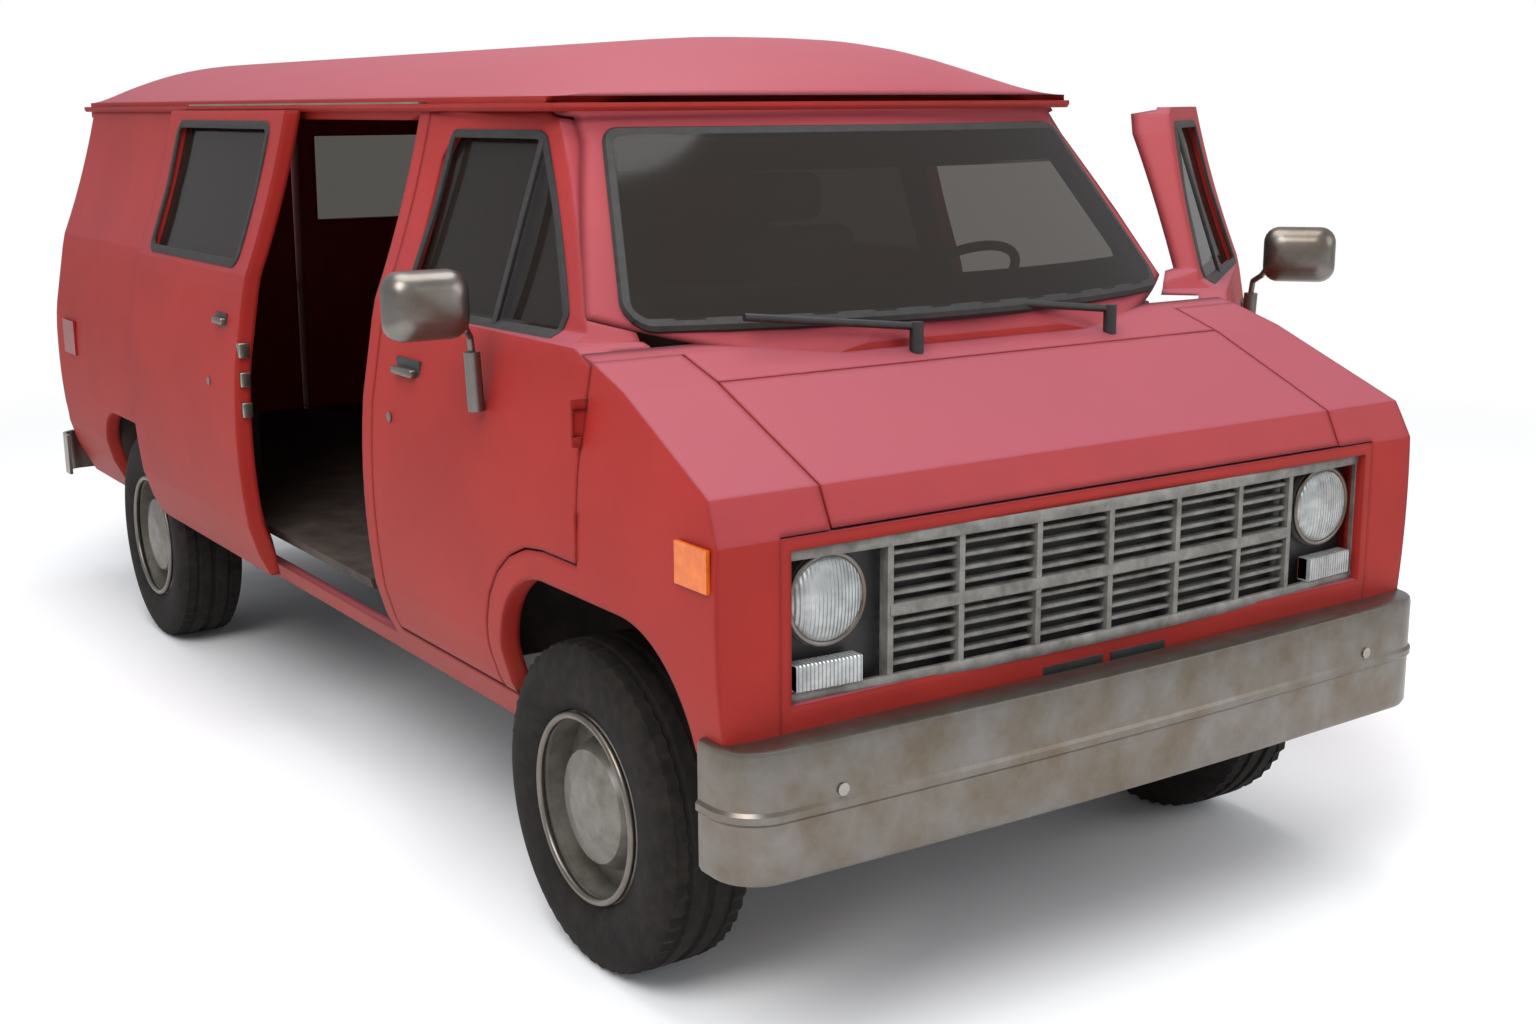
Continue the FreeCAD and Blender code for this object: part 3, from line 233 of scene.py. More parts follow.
@dataclass(frozen=True)
class ClearGlass(Finish):
    """Glass that light passes straight through, tinted by its colour."""

    tint: str = "#5A5F66"
    strength: float = 0.55

    def dress(self, tree: bpy.types.NodeTree, shader: bpy.types.Node,
              spots: bpy.types.NodeSocket) -> None:
        """Mix the glossy face with a tinted see-through one.

        Args:
            tree: The node tree.
            shader: The glossy face.
            spots: Left alone, because clear glass has no pattern.
        """
        clear = add_node(tree, "ShaderNodeBsdfTransparent", None, {"Color": linear(self.tint)})
        mix = add_node(tree, "ShaderNodeMixShader", None, {
            0: self.strength, 1: clear.outputs[0], 2: shader.outputs[0]})
        tree.links.new(mix.outputs[0], tree.nodes["Material Output"].inputs["Surface"])


# The wave texture's length in metres at a scale of one
WAVE_LENGTH = 0.314


@dataclass(frozen=True)
class FlutedGlass(Finish):
    """Lamp glass with upright flutes pressed into it."""

    flute_mm: float = 9.0
    flute_depth: float = 3.0

    def dress(self, tree: bpy.types.NodeTree, shader: bpy.types.Node,
              spots: bpy.types.NodeSocket) -> None:
        """Raise the flutes.

        Args:
            tree: The node tree.
            shader: Takes the flutes' normal.
            spots: Where the flutes are read.
        """
        wave = add_node(tree, "ShaderNodeTexWave", {"bands_direction": "Y"}, {
            "Vector": spots, "Scale": WAVE_LENGTH / (self.flute_mm * MM)})
        bump = add_node(tree, "ShaderNodeBump", None, {
            "Strength": 0.7, "Distance": self.flute_depth * MM, "Height": wave.outputs["Fac"]})
        tree.links.new(bump.outputs["Normal"], shader.inputs["Normal"])


# Alkyd enamel, sprayed and weathered: a soft sheen, no clear coat, and a painted pink sky reflection on its
# upward faces
BODY_PAINT = DustyPaintWithSkyReflection("weathered_enamel_paint", "#99261F", 0.54, mottle="#8C211C", mottle_mm=420,
                        specular=0.18)
# Float glass with a smoke tint: sharp reflections over a dusty, see-through cabin
WINDOW_GLASS = ClearGlass("tinted_float_glass", "#3A3430", 0.05, ior=1.52, tint="#B4B2AF", strength=0.36)
# Chromed steel gone dull: a pitted mirror that blurs the sky
DULL_CHROME = Finish("weathered_chrome_steel", "#9E9B96", 0.34, 1.0, mottle="#8A8479", mottle_mm=110,
                     grain_mm=1.5, grain_depth=0.1)
# Argent enamel on pressed steel: grey, barely metallic
ARGENT = Finish("argent_enamel", "#736F68", 0.45, 0.35, mottle="#5C564D", mottle_mm=45)
# Moulded ABS painted grey: satin
GRILLE_GREY = Finish("argent_painted_abs", "#7C7A75", 0.5, 0.2, mottle="#57534D", mottle_mm=50)
# Vulcanised rubber with road dust in it: matt brown-black
TYRE_RUBBER = Finish("dusty_tyre_rubber", "#12100F", 0.9, mottle="#231E1A", mottle_mm=38, specular=0.25,
                     grain_mm=3, grain_depth=0.4)
# Extruded rubber seal: matt black
SEAL_RUBBER = Finish("extruded_seal_rubber", "#1B1A1A", 0.7, mottle="#2A2725", mottle_mm=30)
# Vinyl on foam: soft sheen and a fine leather grain
SEAT_VINYL = Finish("black_grained_vinyl", "#121315", 0.55, mottle="#1C1D20", mottle_mm=60, grain_mm=2.5,
                    grain_depth=0.3)
# Moulded dash plastic: brown, grained, sun-bleached on top
DASH_PLASTIC = Finish("grained_dash_plastic", "#4A403B", 0.7, mottle="#5C5049", mottle_mm=80, grain_mm=2,
                      grain_depth=0.3)
# Chassis enamel under road dirt
CHASSIS_BLACK = Finish("road_dirty_chassis_enamel", "#1D1A18", 0.8, mottle="#3A322B", mottle_mm=70)
# Grey cast iron, oily
CAST_IRON = Finish("oily_cast_iron", "#2B2A29", 0.6, 0.6, mottle="#3C3631", mottle_mm=40, grain_mm=4,
                   grain_depth=0.5)
# Painted steel floor, worn brown
FLOOR_PAINT = Finish("worn_floor_paint", "#2A211D", 0.75, mottle="#453A31", mottle_mm=110)
# Acrylic lens, moulded amber
AMBER_LENS = Finish("amber_acrylic_lens", "#D96A0A", 0.25, mottle="#B95205", mottle_mm=35)
# Acrylic lens, moulded red
RED_LENS = Finish("red_acrylic_lens", "#8E1B1B", 0.25, mottle="#701212", mottle_mm=35)
# Pressed lamp glass over an aluminised bowl
LAMP_GLASS = Finish("pressed_lamp_glass", "#B9BCBB", 0.2, 0.35, mottle="#8C8F90", mottle_mm=12)
# Powder black on steel
WIPER_BLACK = Finish("satin_black_steel", "#191919", 0.5, mottle="#262423", mottle_mm=25)
# Nearly black and glossy: a band of painted interior shade round the windscreen's pane, and the mirrors'
# glass
DARK_GLASS_AND_SHADE = Finish("dark_glass_and_painted_shade", "#2A2927", 0.12, ior=1.52)
# Pressed glass with upright flutes
FLUTED_LENS = FlutedGlass("fluted_lamp_glass", "#B4B6B4", 0.18, 0.3, mottle="#8E908F", mottle_mm=40)
# Old chrome on pressed steel: blue-grey where it mirrors the sky, tan with dust on its face
BUMPER_CHROME = Finish("dusty_chrome_plate", "#77736F", 0.34, 0.9, mottle="#655A4C", mottle_mm=140,
                       grain_mm=2.5, grain_depth=0.1)

SLOT_FINISH = {
    "body_paint": BODY_PAINT, "window_glass": WINDOW_GLASS, "lamp_glass": LAMP_GLASS,
    "amber_lens": AMBER_LENS, "red_lens": RED_LENS, "grille_paint": GRILLE_GREY,
    "bright_steel": DULL_CHROME, "floor_paint": FLOOR_PAINT, "chassis_black": CHASSIS_BLACK,
    "cast_metal": CAST_IRON, "seat_vinyl": SEAT_VINYL, "dash_plastic": DASH_PLASTIC,
    "wiper_black": WIPER_BLACK, "wheel_steel": ARGENT, "tyre_rubber": TYRE_RUBBER,
}


@dataclass
class Palette:
    """The materials, each built once."""

    made: dict[str, bpy.types.Material] = field(default_factory=dict)

    def of(self, finish: Finish) -> bpy.types.Material:
        """Return the material of a finish, building it on first use.

        Args:
            finish: The finish wanted.

        Returns:
            Its material.
        """
        if finish.name not in self.made:
            self.made[finish.name] = finish.material()
        return self.made[finish.name]


PALETTE = Palette()
FINISH_SLOT = {finish.name: slot for slot, finish in SLOT_FINISH.items()}
FINISH_SLOT |= {SEAL_RUBBER.name: "wiper_black", DARK_GLASS_AND_SHADE.name: "wiper_black",
                FLUTED_LENS.name: "lamp_glass", BUMPER_CHROME.name: "bright_steel"}


# Shared shapes


def spot(x: float, y: float, height: float) -> Vector:
    """Place a point given in millimetres.

    Args:
        x: Distance ahead of the rear axle.
        y: Distance to the left of the middle.
        height: Height above the ground.

    Returns:
        The point in the frame, in metres.
    """
    return Vector((x * MM, y * MM, height * MM + GROUND))


def same(point: Vector) -> Vector:
    """Leave a point of the right side where it is."""
    return point


def flipped(point: Vector) -> Vector:
    """Mirror a point to the left side."""
    return Vector((point.x, -point.y, point.z))


LEFT_HINGE = Vector((3.327, 1.009, 0.0))
LEFT_OPENING = math.radians(-50)
LEFT_SWING = (Matrix.Translation(LEFT_HINGE) @ Matrix.Rotation(LEFT_OPENING, 4, "Z")
              @ Matrix.Translation(-LEFT_HINGE))


def swung(point: Vector) -> Vector:
    """Carry a point of the shut right door to the left door, which stands open."""
    return LEFT_SWING @ flipped(point)


Placer = Callable[[Vector], Vector]
FRONT_DOORS = (("right", same, Body.FRONT_DOOR_RIGHT), ("left", swung, Body.FRONT_DOOR_LEFT))


def pick(piece: bpy.types.Object) -> None:
    """Make one object the only selected and active one.

    Args:
        piece: The object.
    """
    bpy.ops.object.select_all(action="DESELECT")
    piece.select_set(True)
    bpy.context.view_layer.objects.active = piece


def loft(rings: Sequence[Sequence[Vector]], looped: bool = False) -> bpy.types.Object:
    """Skin equal closed rings of points, for curved panels that no primitive gives.

    Args:
        rings: The rings, each with the same number of points.
        looped: Whether the last ring joins the first; otherwise both ends are capped.

    Returns:
        The skinned object.
    """
    count, rows = len(rings[0]), len(rings)
    faces = []
    for row in range(rows if looped else rows - 1):
        here, there = row * count, (row + 1) % rows * count
        for k in range(count):
            after = (k + 1) % count
            faces.append((here + k, here + after, there + after, there + k))
    if not looped:
        faces.append(tuple(range(count)))
        faces.append(tuple(range((rows - 1) * count, rows * count)))
    shape = bpy.data.meshes.new("loft")
    shape.from_pydata([tuple(point) for ring in rings for point in ring], [], faces)
    piece = bpy.data.objects.new("loft", shape)
    bpy.context.scene.collection.objects.link(piece)
    return piece


def slab(low: Point, high: Point, round_mm: float = 4.0, put: Placer = same) -> bpy.types.Object:
    """Shape a cube with rounded edges.

    Args:
        low: Lowest corner, millimetres with the height above the ground.
        high: Highest corner, the same way.
        round_mm: Radius of the edges.
        put: Carries the piece to its side.

    Returns:
        The rounded block.
    """
    start, end = spot(*low), spot(*high)
    bpy.ops.object.select_all(action="DESELECT")
    bpy.ops.mesh.primitive_cube_add(size=1, location=(start + end) / 2)
    piece = bpy.context.object
    piece.scale = end - start
    bpy.ops.object.transform_apply(location=True, rotation=True, scale=True)
    bpy.ops.object.mode_set(mode="EDIT")
    bpy.ops.mesh.select_all(action="SELECT")
    bpy.ops.mesh.bevel(offset=round_mm * MM, segments=3, affect="EDGES")
    bpy.ops.object.mode_set(mode="OBJECT")
    for vertex in piece.data.vertices:
        vertex.co = put(vertex.co)
    return piece


def bar(start: Vector, end: Vector, radius: float, put: Placer = same) -> bpy.types.Object:
    """Stand a round bar between two points.

    Args:
        start: Middle of one end.
        end: Middle of the other end.
        radius: The bar's radius in millimetres.
        put: Carries the bar to its side.

    Returns:
        The bar.
    """
    start, end = put(start), put(end)
    bpy.ops.object.select_all(action="DESELECT")
    bpy.ops.mesh.primitive_cylinder_add(
        vertices=24, radius=radius * MM, depth=(end - start).length, location=(start + end) / 2,
        rotation=(end - start).to_track_quat("Z", "Y").to_euler())
    return bpy.context.object


def joined(pieces: Sequence[bpy.types.Object]) -> bpy.types.Object:
    """Join several shapes into one object.

    Args:
        pieces: The shapes; the first one takes in the others.

    Returns:
        The joined object.
    """
    bpy.ops.object.select_all(action="DESELECT")
    for piece in pieces:
        piece.select_set(True)
    bpy.context.view_layer.objects.active = pieces[0]
    bpy.ops.object.join()
    return bpy.context.object


def settle(piece: bpy.types.Object, name: str, finish: Finish, body: Body = Body.ROOT,
           angle: float = 35.0) -> bpy.types.Object:
    """Finish a piece and hang it on its body.

    Args:
        piece: The shaped object.
        name: Its plain name.
        finish: Its surface.
        body: The moving body that carries it.
        angle: Edges sharper than this many degrees stay crisp.

    Returns:
        The finished piece.
    """
    pick(piece)
    bpy.ops.object.transform_apply(location=True, rotation=True, scale=True)
    bpy.ops.object.mode_set(mode="EDIT")
    bpy.ops.mesh.select_all(action="SELECT")
    bpy.ops.mesh.normals_make_consistent(inside=False)
    bpy.ops.object.mode_set(mode="OBJECT")
    bpy.ops.object.shade_smooth_by_angle(angle=math.radians(angle))
    piece.name = piece.data.name = name
    piece.data.materials.clear()
    piece.data.materials.append(PALETTE.of(finish))
    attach(piece, body.value)
    LOG.info("made %s", name)
    return piece


def rounded(corners: Sequence[tuple[float, float]], inset: float, radius: float, arc: int = 6,
            edge: int = 10) -> list[Vector]:
    """Inset a convex outline and round its corners.

    Args:
        corners: The outline's corners, anticlockwise.
        inset: How far the outline moves inwards.
        radius: Radius of the corners.
        arc: Steps round each corner.
        edge: Steps along each edge.

    Returns:
        The outline's points, as many for every inset.
    """
    spots = [Vector(corner) for corner in corners]
    count = len(spots)
    runs = [(spots[(i + 1) % count] - spots[i]).normalized() for i in range(count)]
    outward = [Vector((run.y, -run.x)) for run in runs]
    arcs = []
    for i in range(count):
        before, after = outward[i - 1], outward[i]
        centre = spots[i] - (before + after) * ((inset + radius) / (1 + before.dot(after)))
        arcs.append([centre + before.lerp(after, k / arc).normalized() * radius for k in range(arc + 1)])
    outline = []
    for i in range(count):
        start, end = arcs[i][-1], arcs[(i + 1) % count][0]
        outline += arcs[i] + [start.lerp(end, k / edge) for k in range(1, edge)]
    return outline


TRIM_ROOT = 4.0
TIGHTEST_CORNER = 5.0


def trim(corners: Sequence[tuple[float, float]], outer: float, inner: float, radius: float,
         proud: float, place: Callable[[float, float, float], Vector]) -> bpy.types.Object:
    """Run a moulding round an outline.

    Args:
        corners: The outline's corners, anticlockwise.
        outer: Inset of the moulding's outer edge.
        inner: Inset of its inner edge.
        radius: Corner radius at the outer edge.
        proud: How far it stands out.
        place: Puts a point of the outline on the panel, with its height above the panel.

    Returns:
        The moulding.
    """
    outside = rounded(corners, outer, radius)
    inside = rounded(corners, inner, max(radius - inner + outer, TIGHTEST_CORNER))
    rings = []
    for a, b in zip(outside, inside):
        section = ((a, -TRIM_ROOT), (a, proud * 0.6), (a.lerp(b, 0.25), proud), (a.lerp(b, 0.75), proud),
                   (b, proud * 0.6), (b, -TRIM_ROOT))
        rings.append([place(at.x, at.y, out) for at, out in section])
    return loft(rings, looped=True)


# The body's side as heights above the ground with the half widths there
SIDE_SECTION = ((455, 905), (576, 964), (665, 990), (930, 1009), (1158, 998), (1362, 962), (1410, 951),
                (1640, 868), (1888, 800))
CAB_START = 2235
CAB_LENGTH = 1155
CAB_TAPER = 88
SHOULDER_FOOT = 1362
SHOULDER_RISE = 48
SLIDER_OUT = 62
PLATE_ROOT = 6
LOCK_PROUD = 6
LOCK_RADIUS = 13


def side_half(x: float, z: float) -> float:
    """Half width of the body, which narrows along the cab above its shoulder.

    Args:
        x: Distance ahead of the rear axle.
        z: Height above the ground.

    Returns:
        The half width in millimetres.
    """
    half = SIDE_SECTION[-1][1]
    for (low, start), (high, end) in zip(SIDE_SECTION, SIDE_SECTION[1:]):
        if z <= high:
            half = start + (end - start) * (z - low) / (high - low)
            break
    along = min(max((x - CAB_START) / CAB_LENGTH, 0.0), 1.0)
    return half - CAB_TAPER * along * min(max((z - SHOULDER_FOOT) / SHOULDER_RISE, 0.0), 1.0)


def on_side(put: Placer, extra: float = 0.0) -> Callable[[float, float, float], Vector]:
    """Give the function that lays an outline on a side panel.

    Args:
        put: Carries the points to their side.
        extra: How much further out the panel stands than the body's side.

    Returns:
        A function of place along, height and distance out.
    """
    return lambda x, z, out: put(spot(x, -side_half(x, z) - out - extra, z))


def side_plate(x: float, z: float, length: float, height: float, thick: float, put: Placer = same,
               extra: float = 0.0) -> bpy.types.Object:
    """Lay a small rounded plate on a side panel.

    Args:
        x: Place of its middle along the body.
        z: Height of its middle above the ground.
        length: Its length.
        height: Its height.
        thick: How far it stands out.
        put: Carries it to its side.
        extra: How much further out the panel stands than the body's side.

    Returns:
        The plate.
    """
    face = -side_half(x, z) - extra
    low = (x - length / 2, face - thick, z - height / 2)
    high = (x + length / 2, face + PLATE_ROOT, z + height / 2)
    return slab(low, high, min(thick, height, length) * 0.3, put)


def side_lock(x: float, z: float, put: Placer = same, extra: float = 0.0) -> bpy.types.Object:
    """Set a round lock on a side panel, with the same arguments as a plate's."""
    face = -side_half(x, z) - extra
    return bar(spot(x, face, z), spot(x, face - LOCK_PROUD, z), LOCK_RADIUS, put)


def outward_path(points: Sequence[Vector]) -> list[tuple[Vector, Vector]]:
    """Pair each point of a level path with the direction that lies to the right of its run.

    Args:
        points: The path's points.

    Returns:
        The points with their outward directions.
    """
    path = []
    for k, point in enumerate(points):
        run = points[min(k + 1, len(points) - 1)] - points[max(k - 1, 0)]
        path.append((point, Vector((run.y, -run.x, 0)).normalized()))
    return path


def sweep(path: Sequence[tuple[Vector, Vector]], section: Sequence[tuple[float, float]]) -> bpy.types.Object:
    """Carry a section along a level path.

    Args:
        path: Points with their outward directions.
        section: Distances outwards and upwards, in millimetres.

    Returns:
        The swept object.
    """
    return loft([[point + away * (out * MM) + Vector((0, 0, rise * MM)) for out, rise in section]
                 for point, away in path])


# Pieces of the van


@dataclass
class Roof:
    """Domed roof skin with its drip rail, in millimetres.

    The rail's section gives distances outwards and upwards.
    """

    crown: float = 2062.0
    gutter: float = 1888.0
    edge_half: float = 792.0
    front: float = 2992.0
    bow: float = 150.0
    bow_power: float = 2.2
    crown_power: float = 2.8
    fall_power: float = 2.4
    rear: float = -1036.0
    rim: float = 22.0
    front_fall: float = 560.0
    rear_fall: float = 220.0
    stations: int = 48
    columns: int = 20
    rail_half: float = 804.0
    rail_spots: tuple = (-1030, 0, 1000, 2000, 2600, 2780)
    rail_out: float = 6.0
    rail_reach: int = 780
    rail_step: int = 60
    door_start: float = 2150.0
    skirt: float = 34.0
    door_skirt: float = 9.0
    rail_section: tuple = ((-4, -12), (10, -12), (16, -3), (15, 7), (11, 7), (9, -3), (-4, -3))

    def front_at(self, y: float) -> float:
        """Find where the front edge, bowed in plan, lies at a distance from the middle."""
        return self.front - self.bow * abs(y / self.edge_half) ** self.bow_power

    def height(self, x: float, y: float) -> float:
        """Find the skin's height, which falls off to every edge.

        Args:
            x: Distance ahead of the rear axle.
            y: Distance from the middle.

        Returns:
            The height above the ground.
        """
        across = 1 - abs(y / self.edge_half) ** self.crown_power
        ahead = 1 - (1 - min((self.front_at(y) - x) / self.front_fall, 1.0)) ** self.fall_power
        behind = 1 - (1 - min((x - self.rear) / self.rear_fall, 1.0)) ** self.fall_power
        low = self.gutter + self.rim
        return low + (self.crown - low) * across * ahead * behind

    def build(self) -> None:
        """Make the skin and the rail."""
        rings = []
        for k in range(self.stations + 1):
            share = (1 - math.cos(math.pi * k / self.stations)) / 2
            ring = []
            for j in range(-self.columns, self.columns + 1):
                y = self.edge_half * math.sin(math.pi / 2 * j / self.columns)
                x = self.rear + (self.front_at(y) - self.rear) * share
                ring.append(spot(x, y, self.height(x, y)))
            edge = self.rear + (self.front_at(self.edge_half) - self.rear) * share
            foot = self.gutter - (self.door_skirt if edge > self.door_start else self.skirt)
            ring += [spot(edge, self.edge_half, foot), spot(edge, -self.edge_half, foot)]
            rings.append(ring)
        skin = settle(loft(rings), "roof_skin", BODY_PAINT, angle=50)
        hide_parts("roof_panel")
        side = [spot(x, -self.rail_half, self.gutter) for x in self.rail_spots]
        across = range(-self.rail_reach, self.rail_reach + 1, self.rail_step)
        front = [spot(self.front_at(y) + self.rail_out, y, self.gutter) for y in across]
        points = side + front + [flipped(point) for point in reversed(side)]
        settle(sweep(outward_path(points), self.rail_section), "drip_rail", BODY_PAINT)


@dataclass
class Windows:
    """The windscreen's pane, rubber seals, the vent bars and the inside mirror, in millimetres.

    A seal's four values are the insets of its outer and inner edge, its corner radius and how far it
    stands out. The facing is the direction straight out of the windscreen, and the flare is how far that
    turns outwards at its sides.
    """

    foot: float = 1384.0
    rise: float = 469.0
    foot_half: float = 839.0
    head_half: float = 695.0
    foot_sag: float = 199.0
    head_sag: float = 135.0
    foot_x: float = 3400.0
    lean: float = 400.0
    facing: tuple = (0.72, 0.62)
    flare: float = 0.45
    flare_half: float = 800.0
    screen_seal: tuple = (20, 48, 50, 20)
    # The border is a dark band of painted interior shade round the pane.
    screen_shade_border: tuple = (34, 112, 70, 14)
    door_seal: tuple = (-12, 8, 26, 4)
    side_seal: tuple = (-14, 10, 46, 4)
    pane_inset: float = 38.0
    pane_side: float = 40.0
    pane_thick: float = 3.0
    pane_out: float = 19.0
    pane_rows: int = 12
    pane_columns: int = 16
    post_x: float = 2794.0
    post_half: float = 10.0
    post_middle: float = 806.0
    post_depth: float = 6.0
    post_heights: tuple = (1400, 1816)
    mirror: tuple = ((2842, -61, 1740), (2858, 168, 1801), 6)
    mirror_stem: tuple = ((2858, 52, 1790), (2930, 52, 1850))
    mirror_stem_radius: float = 5.0
    door_outline: tuple = ((2336, 1400), (3058, 1400), (3066, 1440), (2800, 1812), (2770, 1822),
                           (2380, 1822))
    slider_outline: tuple = ((388, 1440), (1243, 1440), (1243, 1836), (388, 1836))
    left_outline: tuple = ((1215, 1430), (2105, 1430), (2105, 1830), (1215, 1830))

    def screen(self, y: float, z: float, out: float) -> Vector:
        """Lay a point on the curved windscreen.

        Args:
            y: Distance to the left of the middle.
            z: Height above the ground.
            out: How far the point stands out.

        Returns:
            The point in the frame.
        """
        share = (z - self.foot) / self.rise
        half = self.foot_half + (self.head_half - self.foot_half) * share
        sag = self.foot_sag + (self.head_sag - self.foot_sag) * share
        radius = (half * half + sag * sag) / (2 * sag)
        x = self.foot_x - self.lean * share - (radius - math.sqrt(max(radius * radius - y * y, 0.0)))
        ahead, up = self.facing
        return spot(x + out * ahead, y + out * self.flare * y / self.flare_half, z + out * up)

    def windscreen(self) -> None:
        """Make the windscreen's seal, its dark border of painted shade and its pane."""
        head = self.foot + self.rise
        corners = ((-self.foot_half, self.foot), (self.foot_half, self.foot), (self.head_half, head),
                   (-self.head_half, head))
        settle(trim(corners, *self.screen_seal, self.screen), "windscreen_seal", SEAL_RUBBER)
        # A dark ring of painted interior shade between the seal and the pane.
        settle(trim(corners, *self.screen_shade_border, self.screen), "windscreen_shade_border", DARK_GLASS_AND_SHADE)
        rows = []
        for k in range(self.pane_rows + 1):
            z = self.foot + self.pane_inset + (self.rise - 2 * self.pane_inset) * k / self.pane_rows
            share = (z - self.foot) / self.rise
            half = self.foot_half - self.pane_side + (self.head_half - self.foot_half) * share
            across = [half * j / self.pane_columns for j in range(-self.pane_columns, self.pane_columns + 1)]
            outer = [self.screen(y, z, self.pane_out) for y in across]
            inner = [self.screen(y, z, self.pane_out - self.pane_thick) for y in reversed(across)]
            rows.append(outer + inner)
        pane = settle(loft(rows), "windscreen_pane", WINDOW_GLASS, angle=60)
        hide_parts("windscreen")

    def vent_bar(self, put: Placer) -> bpy.types.Object:
        """Shape the upright bar of a front door's vent window, leaning with the door.

        Args:
            put: Carries the bar to its side.

        Returns:
            The bar.
        """
        low, high = self.post_heights
        post = slab((self.post_x - self.post_half, -self.post_middle - self.post_depth, low),
                    (self.post_x + self.post_half, -self.post_middle + self.post_depth, high), 3)
        for vertex in post.data.vertices:
            height = (vertex.co.z - GROUND) / MM
            lean = side_half(self.post_x - 1, height) + (self.post_middle - abs(vertex.co.y / MM))
            vertex.co = put(Vector((vertex.co.x, -lean * MM, vertex.co.z)))
        return post

    def build(self) -> None:
        """Make the windscreen, the seals of the other windows and the inside mirror."""
        self.windscreen()
        for side, put, body in FRONT_DOORS:
            ring = trim(self.door_outline, *self.door_seal, on_side(put))
            settle(ring, f"front_door_{side}_window_seal", SEAL_RUBBER, body)
            settle(self.vent_bar(put), f"front_door_{side}_vent_bar", SEAL_RUBBER, body)
        ring = trim(self.slider_outline, *self.side_seal, on_side(same, SLIDER_OUT))
        settle(ring, "sliding_door_window_seal", SEAL_RUBBER)
        ring = trim(self.left_outline, *self.side_seal, on_side(flipped))
        settle(ring, "side_window_seal", SEAL_RUBBER)
        settle(slab(*self.mirror), "inside_mirror", WIPER_BLACK)
        start, end = (spot(*at) for at in self.mirror_stem)
        settle(bar(start, end, self.mirror_stem_radius), "inside_mirror_stem", WIPER_BLACK)


